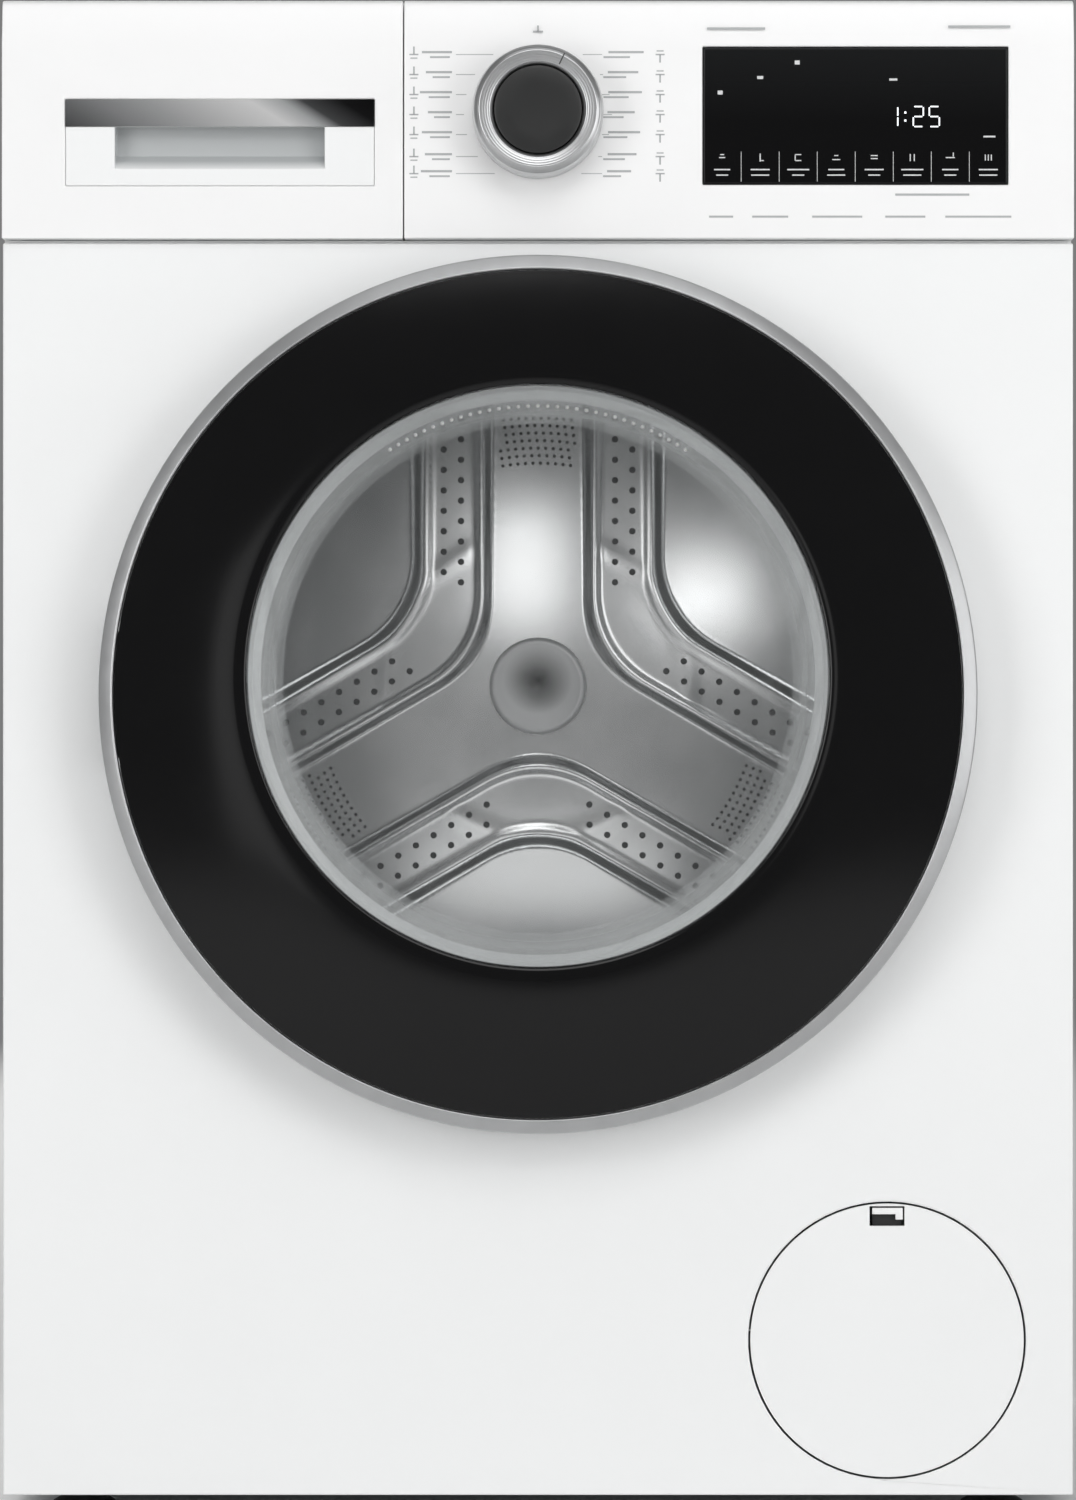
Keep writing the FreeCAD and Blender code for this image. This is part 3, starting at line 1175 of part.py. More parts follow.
def dampers():
    name = "damper_cylinders"
    group = add("Part::Compound", name)
    tubes = []
    for side in (-1, 1):
        centre = (mirrored("damper_across", side), "damper_y")
        body = rod(name, "damper_outer", "Z", "tray_floor + 4", "damper_top", centre)
        room = rod(name, "damper_inner", "Z", "tray_floor + 10", "damper_top - 4", centre)
        neck = rod(name, "damper_rod + 0.3", "Z", "damper_top - 5", "damper_top + 1", centre)
        tubes.append(cut(name, body, room, neck))
    group.Links = tubes
    keep(name, group)
    name = "damper_rods"
    group = add("Part::Compound", name)
    rods = []
    for side in (-1, 1):
        centre = (mirrored("damper_across", side), "damper_y")
        stem = rod(name, "damper_rod", "Z", "tray_floor + 40", "drum_height - tub_inner + 62", centre)
        head = rod(name, "piston", "Z", "tray_floor + 44", "tray_floor + 74", centre)
        rods.append(join(name, stem, head))
    group.Links = rods
    keep(name, group)


def suspension_springs():
    """Two coil springs; the wire is swept along a helix."""
    springs = []
    for side in (-1, 1):
        radius = value("spring_coil")
        low, high = value("spring_low"), value("spring_top")
        wire = value("spring_wire")
        helix = Part.makeHelix(value("spring_pitch"), high - low - 2 * wire, radius)
        ring = Part.Wire(Part.makeCircle(wire, Vector(radius, 0, 0), Vector(0, 1, 0)))
        coil = Part.Wire(helix).makePipeShell([ring], True, True)
        coil.translate(Vector(value(mirrored("spring_across", side)), value("spring_y"), low + wire))
        springs.append(coil)
    item = add("Part::Feature", "suspension_springs")
    item.Shape = Part.makeCompound(springs)
    keep("suspension_springs", item)


dampers()
suspension_springs()

# ---------------------------------------------------------------- water circuit


def bellows(name, radius, low, high, x, y, ripples):
    """A corrugated hose between two heights, its ripples spread evenly."""
    outer = [(radius, "0"), (f"{radius} + 3", "0"), (f"{radius} + 3", "8")]
    inner = []
    for k in range(ripples):
        start = f"8 + (({high}) - ({low}) - 16) * {k} / {ripples}"
        crest = f"8 + (({high}) - ({low}) - 16) * {k + 0.5} / {ripples}"
        end = f"8 + (({high}) - ({low}) - 16) * {k + 1} / {ripples}"
        outer += [(f"{radius} + 3 + hose_ripple", crest), (f"{radius} + 3", end)]
        inner += [(f"{radius} + hose_ripple", crest), (radius, start)]
    inner = []
    for k in reversed(range(ripples)):
        crest = f"8 + (({high}) - ({low}) - 16) * {k + 0.5} / {ripples}"
        start = f"8 + (({high}) - ({low}) - 16) * {k} / {ripples}"
        inner += [(f"{radius} + hose_ripple", crest), (radius, start)]
    top = f"({high}) - ({low})"
    ends = [(f"{radius} + 3", top), (radius, top), (radius, f"{top} - 8")]
    keep(name, turned(name, "Z", outer + ends + inner, x, y, low))


def service_flap():
    name = "service_flap"
    centre = ("flap_across", "flap_height")
    disc = rod(name, "flap_radius", "Y", "front_face - 0.3", "front_face - 0.3 + flap_thick", centre)
    lips = [block(name, (f"flap_across {sign} 22 - 5", f"flap_across {sign} 22 + 5"),
                  ("front_face + 1", "front_face + 5"), ("flap_low + 5", "flap_low + 15"))
            for sign in ("-", "+")]
    window = block(name, ("flap_across - latch_width / 2", "flap_across + latch_width / 2"),
                   ("front_face - 1", "front_face + 4"),
                   ("flap_height + flap_radius - 1.5 - latch_height", "flap_height + flap_radius - 1.5"))
    keep(name, cut(name, join(name, disc, *lips), window))
    name = "flap_latch"
    top = "flap_height + flap_radius - 1.5"
    bar = block(name, ("flap_across - latch_width / 2 + 1.5", "flap_across + latch_width / 2 - 1"),
                ("front_face", "front_face + 6"), (f"{top} - 4.5", f"{top} - 1"))
    thumb = block(name, ("flap_across + latch_width / 2 - 5", "flap_across + latch_width / 2 - 1"),
                  ("front_face", "front_face + 6"), (f"{top} - 7.5", f"{top} - 4"))
    stem = block(name, ("flap_across - latch_width / 2 + 1.5", "flap_across + latch_width / 2 - 1"),
                 ("front_face + 3", "front_face + 6"), (f"{top} - 18", f"{top} - 1"))
    keep(name, join(name, bar, thumb, stem))


def drain_pump():
    name = "drain_pump"
    centre = ("flap_across", "pump_height")
    volute_low = "pump_front + filter_length"
    volute_high = f"{volute_low} + volute_length"
    cup = rod(name, "filter_outer", "Y", "pump_front", f"{volute_low} + 2", centre)
    volute = rod(name, "volute_radius", "Y", volute_low, volute_high, centre)
    motor_can = rod(name, "pump_motor", "Y", f"{volute_high} - 1", f"{volute_high} + 58", centre)
    inlet = rod(name, "hose_radius - 0.2", "Z", "pump_height + 20", "pump_height + 52",
                ("sump_hose_across", "sump_hose_y"))
    outlet = rod(name, "drain_radius - 3", "X", "flap_across + volute_radius - 4", "flap_across + volute_radius + 8",
                 (f"{volute_low} + 14", "pump_height"))
    body = join(name, cup, volute, motor_can, inlet, outlet)
    room = rod(name, "filter_inner", "Y", "pump_front - 1", f"{volute_low} + 3", centre)
    chamber = rod(name, "volute_radius - 4", "Y", f"{volute_low} + 3", f"{volute_high} - 4", centre)
    drilled = rod(name, "hose_radius - 4", "Z", "pump_height + 10", "pump_height + 53",
                  ("sump_hose_across", "sump_hose_y"))
    shaft = rod(name, "3 + shaft_clear", "Y", f"{volute_high} - 5", f"{volute_high} + 20", centre)
    keep(name, cut(name, body, room, chamber, drilled, shaft))
    name = "pump_impeller"
    axle = rod(name, "3", "Y", f"{volute_low} + 7", f"{volute_high} + 18", centre)
    disc = rod(name, "volute_radius - 10", "Y", f"{volute_high} - 9", f"{volute_high} - 6", centre)
    blades = []
    for k in range(4):
        blade = add("Part::Box", name)
        blade.Length = 2.4
        bind(blade, "Width", "volute_length - 15")
        bind(blade, "Height", "volute_radius - 11")
        blade.Placement.Rotation = FreeCAD.Rotation(Vector(0, 1, 0), 90 * k)
        place(blade, f"flap_across - 1.2 * cos({90 * k})", f"{volute_low} + 7",
              f"pump_height + 1.2 * sin({90 * k})")
        blades.append(blade)
    keep(name, join(name, axle, disc, *blades))


def pump_filter():
    name = "pump_filter"
    centre = ("flap_across", "pump_height")
    cap = rod(name, "filter_inner - fit_gap", "Y", "pump_front - 3", "pump_front + 12", centre)
    bar = block(name, ("flap_across - 4", "flap_across + 4"), ("pump_front - 14", "pump_front - 2"),
                ("pump_height - filter_inner + 5", "pump_height + filter_inner - 5"))
    basket = tube(name, "filter_inner - 6", "filter_inner - 9", "Y", "pump_front + 11", "pump_front + filter_length - 8",
                  centre)
    mouth = block(name, ("flap_across - filter_inner", "flap_across + filter_inner"),
                  ("pump_front + 26", "pump_front + filter_length - 20"), ("pump_height + 4", "pump_height + filter_inner"))
    keep(name, cut(name, join(name, cap, bar, basket), mouth))


def drain_hose():
    """The drain hose inside the cabinet: one bend from the pump's spigot to the rear outlet."""
    start = Vector(value("flap_across + volute_radius + 1"), value("pump_front + filter_length + 14"),
                   value("pump_height"))
    across = value("drain_across")
    rear = value("rear_face - 6")
    bend = min(value("drain_bend"), across - start.x - 8)
    outer, inner = value("drain_radius"), value("drain_radius - 3 + 0.1")
    turn = Vector(across, start.y, start.z)
    before = turn - Vector(bend, 0, 0)
    after = turn + Vector(0, bend, 0)
    centre = Vector(before.x, after.y, start.z)
    crown = centre + Vector(1, -1, 0).normalize() * bend
    edges = [Part.LineSegment(start, before).toShape(), Part.Arc(before, crown, after).toShape(),
             Part.LineSegment(after, Vector(across, rear, start.z)).toShape()]
    path = Part.Wire(edges)
    rings = [Part.Wire(Part.makeCircle(radius, start, Vector(1, 0, 0))) for radius in (outer, inner)]
    item = add("Part::Feature", "drain_hose")
    pipes = [path.makePipeShell([ring], True, False) for ring in rings]
    spigot = Part.makeCylinder(outer, value("half_depth") - rear, Vector(across, rear, start.z), Vector(0, 1, 0))
    flange = Part.makeCylinder(outer + 5, 2, Vector(across, value("rear_face"), start.z), Vector(0, 1, 0))
    bore = Part.makeCylinder(inner, value("half_depth") - rear, Vector(across, rear, start.z), Vector(0, 1, 0))
    item.Shape = pipes[0].cut(pipes[1]).fuse([spigot.cut(bore), flange.cut(bore)]).removeSplitter()
    keep("drain_hose", item)


def mains_gland():
    name = "mains_gland"
    centre = ("cable_across", "cable_height")
    neck = rod(name, "cable_radius + 4", "Y", "rear_face - 10", "rear_face + 8", centre)
    collar = rod(name, "cable_radius + 8", "Y", "rear_face", "rear_face + 3", centre)
    nut = rod(name, "cable_radius + 7", "Y", "rear_face - 8", "rear_face - 2 * sheet", centre)
    bore = rod(name, "cable_radius", "Y", "rear_face - 11", "rear_face + 9", centre)
    keep(name, cut(name, join(name, neck, collar, nut), bore))


service_flap()
drain_pump()
pump_filter()
drain_hose()
mains_gland()
bellows("sump_hose", "hose_radius", "pump_height + 38", "drum_height - tub_inner + 42",
        "sump_hose_across", "sump_hose_y", 7)
bellows("dispenser_hose", "spout_radius + 3.2", "drum_height + 197", "housing_floor - 8",
        "spout_across", "spout_y", 2)

# ---------------------------------------------------------------- check and write


def write_parts():
    doc.recompute()
    faults = [item.Name for item in doc.Objects if {"Invalid", "Error"} & set(item.State)]
    if faults:
        raise RuntimeError(f"objects that failed to build: {faults}")
    for item in kept:
        shape = item.Shape
        if shape.isNull() or not shape.isValid() or not shape.Solids:
            raise RuntimeError(f"{item.Label} has no valid solid")
    for item in kept:
        item.Shape.exportStep(f"parts/{item.Label}.step")
    print(len(kept), "sub-parts written")


write_parts()
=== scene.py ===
"""The front load washing machine's looks, in metres: X to the right, Y to the rear, Z up."""
import json
import math

import bmesh
import bpy
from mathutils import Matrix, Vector


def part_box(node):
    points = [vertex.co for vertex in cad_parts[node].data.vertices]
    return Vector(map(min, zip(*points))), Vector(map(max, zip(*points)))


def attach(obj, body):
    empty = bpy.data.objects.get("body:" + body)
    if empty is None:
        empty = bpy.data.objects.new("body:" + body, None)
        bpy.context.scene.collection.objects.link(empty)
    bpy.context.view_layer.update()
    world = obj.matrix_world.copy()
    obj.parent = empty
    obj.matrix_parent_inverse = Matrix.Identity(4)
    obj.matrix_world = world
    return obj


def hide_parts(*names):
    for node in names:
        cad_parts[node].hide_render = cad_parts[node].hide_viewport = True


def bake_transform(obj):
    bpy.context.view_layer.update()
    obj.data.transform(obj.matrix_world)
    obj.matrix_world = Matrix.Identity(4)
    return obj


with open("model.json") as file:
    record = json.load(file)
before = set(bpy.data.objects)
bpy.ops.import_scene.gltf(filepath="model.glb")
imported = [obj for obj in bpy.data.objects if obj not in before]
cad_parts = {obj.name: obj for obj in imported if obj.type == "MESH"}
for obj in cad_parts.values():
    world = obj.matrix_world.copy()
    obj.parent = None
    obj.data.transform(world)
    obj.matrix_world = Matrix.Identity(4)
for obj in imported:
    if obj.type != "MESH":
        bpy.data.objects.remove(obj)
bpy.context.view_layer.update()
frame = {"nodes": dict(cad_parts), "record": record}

MM = 0.001
NODES = frame["nodes"]
BODY_OF = {node: body for body, members in frame["record"]["behaviour"]["bodies"].items() for node in members}
AXIS_Z = 0.470                    # height of the drum's and the window's axis
DOOR_Z = 0.460                    # height of the door's own middle
KNOB_Z = 0.784                    # height of the selector's axis
AXIS, DOOR, KNOB = AXIS_Z / MM, DOOR_Z / MM, KNOB_Z / MM

# ---------------------------------------------------------------- materials


def srgb(code, alpha=1.0):
    """A linear colour from an sRGB hex value."""
    parts = [int(code[k:k + 2], 16) / 255 for k in (0, 2, 4)]
    return (*[c / 12.92 if c <= 0.04045 else ((c + 0.055) / 1.055) ** 2.4 for c in parts], alpha)


def add(tree, kind, inputs=None, **settings):
    """Adds a node; an input given as a socket is linked, and any other is set."""
    item = tree.nodes.new(kind)
    for name, setting in settings.items():
        setattr(item, name, setting)
    for name, given in (inputs or {}).items():
        if isinstance(given, bpy.types.NodeSocket):
            tree.links.new(given, item.inputs[name])
        else:
            item.inputs[name].default_value = given
    return item


def blank(name):
    """A new material and its empty node tree."""
    material = bpy.data.materials.new(name)
    material.use_nodes = True
    tree = material.node_tree
    tree.nodes.clear()
    return material, tree


def grain(tree, size_mm, stretch=(1, 1, 1), detail=3.0):
    """A noise pattern of a real size on object coordinates; returns its factor."""
    place = add(tree, "ShaderNodeTexCoord")
    spread = add(tree, "ShaderNodeMapping", {"Vector": place.outputs["Object"], "Scale": stretch})
    noise = add(tree, "ShaderNodeTexNoise",
                {"Vector": spread.outputs[0], "Scale": 1 / (size_mm * MM), "Detail": detail})
    return noise.outputs["Fac"]


def part_of_place(tree):
    """The object coordinates split into X, Y and Z."""
    place = add(tree, "ShaderNodeTexCoord")
    return add(tree, "ShaderNodeSeparateXYZ", {"Vector": place.outputs["Object"]}).outputs


def finish(tree, tone, dark, light, relief=None, depth_mm=0.0, **inputs):
    """Ends a material: its colour runs between two by the tone, and its relief has a real depth."""
    colour = add(tree, "ShaderNodeMix", {"Factor": tone, "A": srgb(dark), "B": srgb(light)}, data_type="RGBA")
    given = {name.replace("_", " "): value for name, value in inputs.items()}
    given["Base Color"] = colour.outputs["Result"]
    if "Emission_Strength" in inputs:
        given["Emission Color"] = colour.outputs["Result"]
    if relief:
        given["Normal"] = add(tree, "ShaderNodeBump", {"Height": relief, "Distance": depth_mm * MM}).outputs[0]
    shader = add(tree, "ShaderNodeBsdfPrincipled", given)
    add(tree, "ShaderNodeOutputMaterial", {"Surface": shader.outputs[0]})


def surface(name, dark, light, rough, grain_mm, depth_mm, metallic=0.0, stretch=(1, 1, 1), **more):
    """A finish with a slight mottle, an uneven gloss and a fine relief."""
    material, tree = blank(name)
    broad = grain(tree, grain_mm * 40, detail=2.0)
    fine = grain(tree, grain_mm, stretch)
    gloss = add(tree, "ShaderNodeMapRange", {"Value": broad, "From Min": 0.3, "From Max": 0.7,
                                             "To Min": rough * 0.95, "To Max": rough * 1.05})
    finish(tree, broad, dark, light, fine, depth_mm, Metallic=metallic, Roughness=gloss.outputs[0], **more)
    return material


# Powder-baked enamel on steel: a very faint orange peel about 1.5 mm across under a soft gloss.
ENAMEL = surface("white_enamel", "f3f4f4", "f5f6f6", 0.32, 1.5, 0.012, Coat_Weight=0.25, Coat_Roughness=0.12)
# Injection-moulded ABS: smoother than the enamel, with a satin sheen.
MOULDING = surface("white_abs", "f4f4f4", "f6f6f6", 0.32, 0.9, 0.006)
# The same ABS, a touch greyer, for the handle's insert and the inner mouldings.
PALE = surface("pale_abs", "e3e4e5", "e8e9e9", 0.42, 0.7, 0.010)
# Melamine on chipboard: satin, with a pressed grain of about 0.6 mm.
MELAMINE = surface("white_melamine", "f2f3f3", "f4f5f5", 0.48, 0.6, 0.008)
# Glass-filled polypropylene tub: chalky and faintly mottled.
TUB_PLASTIC = surface("filled_polypropylene", "b9bdbf", "c9ccce", 0.62, 1.2, 0.03)
# Thermoplastic painted metallic silver: fine flake, satin gloss.
SILVER = surface("silver_paint", "b4b5b6", "c2c3c4", 0.30, 0.35, 0.004, metallic=0.75)
# Polished black polycarbonate on the door's face: a deep black that mirrors only bright lights.
BLACK = surface("black_polycarbonate", "050506", "080809", 0.11, 0.8, 0.002, Specular_IOR_Level=0.35)
# Satin ABS cap in the selector's middle: dark grey, with a soft even sheen.
CHARCOAL = surface("charcoal_abs", "131414", "191a1a", 0.42, 0.4, 0.006)
# Black moulded nylon of the feet and fittings: matt, with a fine mould texture.
NYLON = surface("black_nylon", "141415", "1c1c1d", 0.55, 0.6, 0.02)
# Grey EPDM rubber of the bellows: dusted matt, so light falls off it softly.
RUBBER = surface("grey_epdm", "c6c9ca", "d2d5d6", 0.58, 0.8, 0.02)
# Black EPDM rubber of the hoses and the belt: a dusty dark grey in the light.
BLACK_RUBBER = surface("black_epdm", "161617", "202021", 0.60, 0.8, 0.03)
# Zinc-coated sheet: a soft spangle about 8 mm across.
ZINC = surface("galvanised_steel", "8f9294", "a6a9ab", 0.42, 0.9, 0.01, metallic=0.85)
# Cold-rolled stainless steel, bright, with rolling lines along the drum.
STAINLESS = surface("stainless_steel", "c9cbcc", "dcdddd", 0.24, 0.8, 0.004, metallic=1.0, stretch=(1, 0.06, 1))
# Sand-cast aluminium: grey, with a sandy relief.
CASTING = surface("cast_aluminium", "8b8e90", "9fa2a3", 0.55, 0.7, 0.08, metallic=0.8)
# Iron weights in a dull anti-rust coat, rough as the sand mould left them.
WEIGHT = surface("coated_iron", "6f7173", "7d7f80", 0.7, 1.0, 0.08)
# Oiled spring wire and bolts: dark, with a close bright sheen.
STEEL = surface("oiled_steel", "6c6f71", "85888a", 0.35, 0.4, 0.006, metallic=1.0)
# Dark stoving paint on the motor: matt, with a slight orange peel.
MOTOR_PAINT = surface("dark_motor_paint", "26282a", "303234", 0.5, 0.8, 0.02)
# Solder-masked circuit board: deep green under a thin clear gloss.
BOARD = surface("solder_mask", "0f3d23", "14492b", 0.35, 0.5, 0.01)
# Printed marks on the fascia: a flat mid-grey ink.
INK = surface("grey_ink", "a9abac", "b2b4b5", 0.5, 0.3, 0.001)
# The selector's filled pointer line: a near-black matt ink.
DARK_INK = surface("dark_ink", "3a3b3c", "444546", 0.5, 0.3, 0.001)
# The dark of an open perforation.
HOLE = surface("hole_shadow", "2a2c2d", "3a3c3d", 0.6, 0.5, 0.01, metallic=0.3)


def glowing(name, colour, strength):
    """A lit display segment behind its tinted window."""
    material, tree = blank(name)
    finish(tree, grain(tree, 0.4), colour, "ffffff", Roughness=0.4, Emission_Strength=strength)
    return material


LIT = glowing("lit_segment", "dfe7eb", 0.8)
DIM = glowing("dim_legend", "7a7e81", 0.12)


def glass():
    """Clear pressed glass: nearly invisible face on, and a bright grey where the wall is seen along its length."""
    material, tree = blank("pressed_glass")
    edge = add(tree, "ShaderNodeLayerWeight", {"Blend": 0.35})
    density = add(tree, "ShaderNodeMapRange", {"Value": edge.outputs["Facing"], "From Min": 0.40, "From Max": 0.74,
                                               "To Min": 0.035, "To Max": 0.60})
    waves = grain(tree, 30, detail=1.0)
    finish(tree, waves, "e6eaea", "eef1f1", waves, 0.08, Roughness=0.03, IOR=1.5, Specular_IOR_Level=0.9,
           Alpha=density.outputs[0])
    return material


def smoked_window():
    """Black display glass, with a painted grey sheen that lightens it towards its upper edge."""
    material, tree = blank("smoked_glass")
    # Painted sheen: the colour lightens towards the top of the window.
    painted_sheen = add(tree, "ShaderNodeMapRange", {"Value": part_of_place(tree)["Z"], "From Min": 0.78, "From Max": 0.822})
    finish(tree, painted_sheen.outputs[0], "070708", "161718", grain(tree, 6), 0.004, Roughness=0.20, Specular_IOR_Level=0.2)
    return material


def painted_reflection_strip():
    """Polished foil with a painted reflection: its tone runs from mid grey through white to black, cut off on a slant
    at its right end.
    """
    material, tree = blank("foil_painted_reflection")
    place = part_of_place(tree)
    slant = 1.6
    left_foot, right_top = (-0.2634, 0.777), (-0.0914, 0.792)
    lean = add(tree, "ShaderNodeMath", {0: place["Z"], 1: slant}, operation="MULTIPLY")
    across = add(tree, "ShaderNodeMath", {0: place["X"], 1: lean.outputs[0]}, operation="ADD")
    along = add(tree, "ShaderNodeMapRange", {"Value": across.outputs[0],
                                             "From Min": left_foot[0] + slant * left_foot[1],
                                             "From Max": right_top[0] + slant * right_top[1]})
    painted_reflection = add(tree, "ShaderNodeValToRGB", {"Fac": along.outputs[0]})
    # Painted reflection: these colour stops stand for the studio lights mirrored along the strip.
    painted_reflection_stops = [(0.0, "4f5051"), (0.10, "6e6f70"), (0.34, "a9aaab"), (0.64, "e4e4e4"),
             (0.73, "b5b7b8"), (0.79, "4a4b4c"), (0.90, "151516"), (1.0, "0b0b0c")]
    while len(painted_reflection.color_ramp.elements) < len(painted_reflection_stops):
        painted_reflection.color_ramp.elements.new(0.5)
    for element, (position, code) in zip(painted_reflection.color_ramp.elements, painted_reflection_stops):
        element.position = position
        element.color = srgb(code)
    brushing = add(tree, "ShaderNodeBump", {"Height": grain(tree, 0.5, (0.02, 1, 1)), "Distance": 0.004 * MM})
    shader = add(tree, "ShaderNodeBsdfPrincipled", {"Base Color": painted_reflection.outputs["Color"], "Metallic": 0.9,
                                                    "Roughness": 0.34, "Normal": brushing.outputs[0]})
    add(tree, "ShaderNodeOutputMaterial", {"Surface": shader.outputs[0]})
    return material


def grip_with_painted_shade():
    """The handle's white ABS face, with painted shade: a light grey that deepens into its finger recess."""
    material, tree = blank("abs_painted_recess_shade")
    # Painted shade: the colour darkens with depth into the finger recess.
    depth = add(tree, "ShaderNodeMapRange",
                {"Value": part_of_place(tree)["Y"], "From Min": -0.2772, "From Max": -0.2700})
    finish(tree, depth.outputs[0], "f2f3f3", "b9bcbd", grain(tree, 0.7), 0.008, Roughness=0.36)
    return material


def dish_with_painted_shade():
    """The hub dish: blasted steel, with painted shade that darkens it from its bright rim towards its middle."""
    material, tree = blank("dish_painted_shade")
    place = part_of_place(tree)
    flat = add(tree, "ShaderNodeCombineXYZ", {"X": place["X"], "Z": place["Z"]})
    reach = add(tree, "ShaderNodeVectorMath", {0: flat.outputs[0], 1: (0, 0, AXIS_Z + 0.004)}, operation="DISTANCE")
    # Painted shade: the colour falls to near black towards the dish's middle.
    tone = add(tree, "ShaderNodeMapRange", {"Value": reach.outputs["Value"], "From Min": 0.001, "From Max": 0.022})
    finish(tree, tone.outputs[0], "1c1d1d", "f0f1f2", grain(tree, 0.6), 0.004, Metallic=0.35, Roughness=0.42)
    return material


def turned_metal():
    """Aluminium turned on a lathe: fine grooves round the selector's axis spread the light into rays."""
    material, tree = blank("turned_aluminium")
    place = add(tree, "ShaderNodeTexCoord")
    centred = add(tree, "ShaderNodeMapping", {"Vector": place.outputs["Object"], "Location": (0, 0, -KNOB_Z)})
    groove_mm = 0.7
    grooves = add(tree, "ShaderNodeTexWave", {"Vector": centred.outputs[0], "Scale": 1 / (groove_mm * MM) / math.tau},
                  wave_type="RINGS", rings_direction="Y")
    finish(tree, grain(tree, 8), "bfc0c1", "d0d1d2", grooves.outputs["Fac"], 0.05, Metallic=1.0, Roughness=0.30)
    return material


GLASS = glass()
SATIN = dish_with_painted_shade()
GRIP = grip_with_painted_shade()
TURNED = turned_metal()
SMOKED = smoked_window()
FOIL = painted_reflection_strip()

# ---------------------------------------------------------------- mesh building


def link(name, mesh, material):
    """A new object in the scene, in one material."""
    item = bpy.data.objects.new(name, mesh)
    bpy.context.scene.collection.objects.link(item)
    mesh.materials.clear()
    mesh.materials.append(material)
    return item


def soften(mesh, angle=35):
    """Smooth shading, with edges sharper than the angle kept crisp."""
    for face in mesh.polygons:
        face.use_smooth = True
    mesh.set_sharp_from_angle(angle=math.radians(angle))


def baked(item, angle=None):
    """The object with its modifiers made part of a plain mesh."""
    bpy.context.view_layer.update()
    graph = bpy.context.evaluated_depsgraph_get()
    mesh = bpy.data.meshes.new_from_object(item.evaluated_get(graph))
    item.modifiers.clear()
    item.data = mesh
    if angle:
        soften(mesh, angle)
    return item


def built(name, material, vertices, faces, angle=35, outward=True):
    """A piece from vertices and faces in millimetres."""
    mesh = bpy.data.meshes.new(name)
    mesh.from_pydata([tuple(c * MM for c in v) for v in vertices], [], faces)
    work = bmesh.new()
    work.from_mesh(mesh)
    bmesh.ops.remove_doubles(work, verts=work.verts, dist=1e-6)
    if outward:
        bmesh.ops.recalc_face_normals(work, faces=work.faces)
    work.to_mesh(mesh)
    work.free()
    mesh.validate()
    soften(mesh, angle)
    return link(name, mesh, material)


def turned(name, material, profile, height, steps=192, angle=35):
    """A piece turned about the Y axis at a height; the profile is a closed loop of (radius, y)."""
    vertices, faces = [], []
    count = len(profile)
    for k in range(steps):
        turn = 2 * math.pi * k / steps
        for radius, y in profile:
            vertices.append((radius * math.cos(turn), y, height + radius * math.sin(turn)))
    for k in range(steps):
        after = (k + 1) % steps
        for j in range(count):
            near = (j + 1) % count
            if profile[j][0] < 1e-6 and profile[near][0] < 1e-6:
                continue
            faces.append((k * count + j, k * count + near, after * count + near, after * count + j))
    return built(name, material, vertices, faces, angle)


def rounded(points, radius, steps=4):
    """A closed profile with its corners rounded by up to a radius."""
    out = []
    count = len(points)
    for k in range(count):
        before, here, after = (Vector(points[(k + d) % count]) for d in (-1, 0, 1))
        if here.x < 1e-6:
            out.append(tuple(here))
            continue
        reach = min(radius, (before - here).length * 0.45, (after - here).length * 0.45)
        start = here + (before - here).normalized() * reach
        end = here + (after - here).normalized() * reach
        for step in range(steps + 1):
            t = step / steps
            spot = start * (1 - t) ** 2 + here * 2 * t * (1 - t) + end * t ** 2
            out.append((spot.x, spot.y))
    return out


def merged_copy(node, name=None, flatten=True):
    """A copy of a CAD node with its triangles joined, and its flat faces made whole if asked."""
    mesh = NODES[node].data.copy()
    work = bmesh.new()
    work.from_mesh(mesh)
    bmesh.ops.remove_doubles(work, verts=work.verts, dist=2e-6)
    if flatten:
        bmesh.ops.dissolve_limit(work, angle_limit=math.radians(0.8), verts=work.verts, edges=work.edges)
    work.to_mesh(mesh)
    work.free()
    return link(name or node + "_skin", mesh, GLASS)


def refined(node, material, edge_mm, steps=2, flatten=True, angle=38):
    """A CAD node's shape with its edges rounded, standing for that node."""
    item = merged_copy(node, flatten=flatten)
    item.data.materials[0] = material
    soften(item.data, angle)
    bevel = item.modifiers.new("round", "BEVEL")
    bevel.width = edge_mm * MM
    bevel.segments = steps
    bevel.limit_method = "ANGLE"
    bevel.angle_limit = math.radians(angle)
    item.modifiers.new("flat_faces", "WEIGHTED_NORMAL").keep_sharp = True
    return placed(baked(item), BODY_OF[node], node)


def placed(item, body, *nodes):
    """Lets a piece ride on a body and stand for CAD nodes."""
    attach(item, body)
    if nodes:
        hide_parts(*nodes)
    return item


def joined(name, material, boxes):
    """One piece of many boxes, each given by its low and high corners in millimetres."""
    vertices, faces = [], []
    for (x0, y0, z0), (x1, y1, z1) in boxes:
        base = len(vertices)
        vertices += [(x, y, z) for x in (x0, x1) for y in (y0, y1) for z in (z0, z1)]
        faces += [tuple(base + k for k in face) for face in
                  ((0, 1, 3, 2), (4, 6, 7, 5), (0, 4, 5, 1), (2, 3, 7, 6), (0, 2, 6, 4), (1, 5, 7, 3))]
    return built(name, material, vertices, faces)


# ---------------------------------------------------------------- repeats by Geometry Nodes


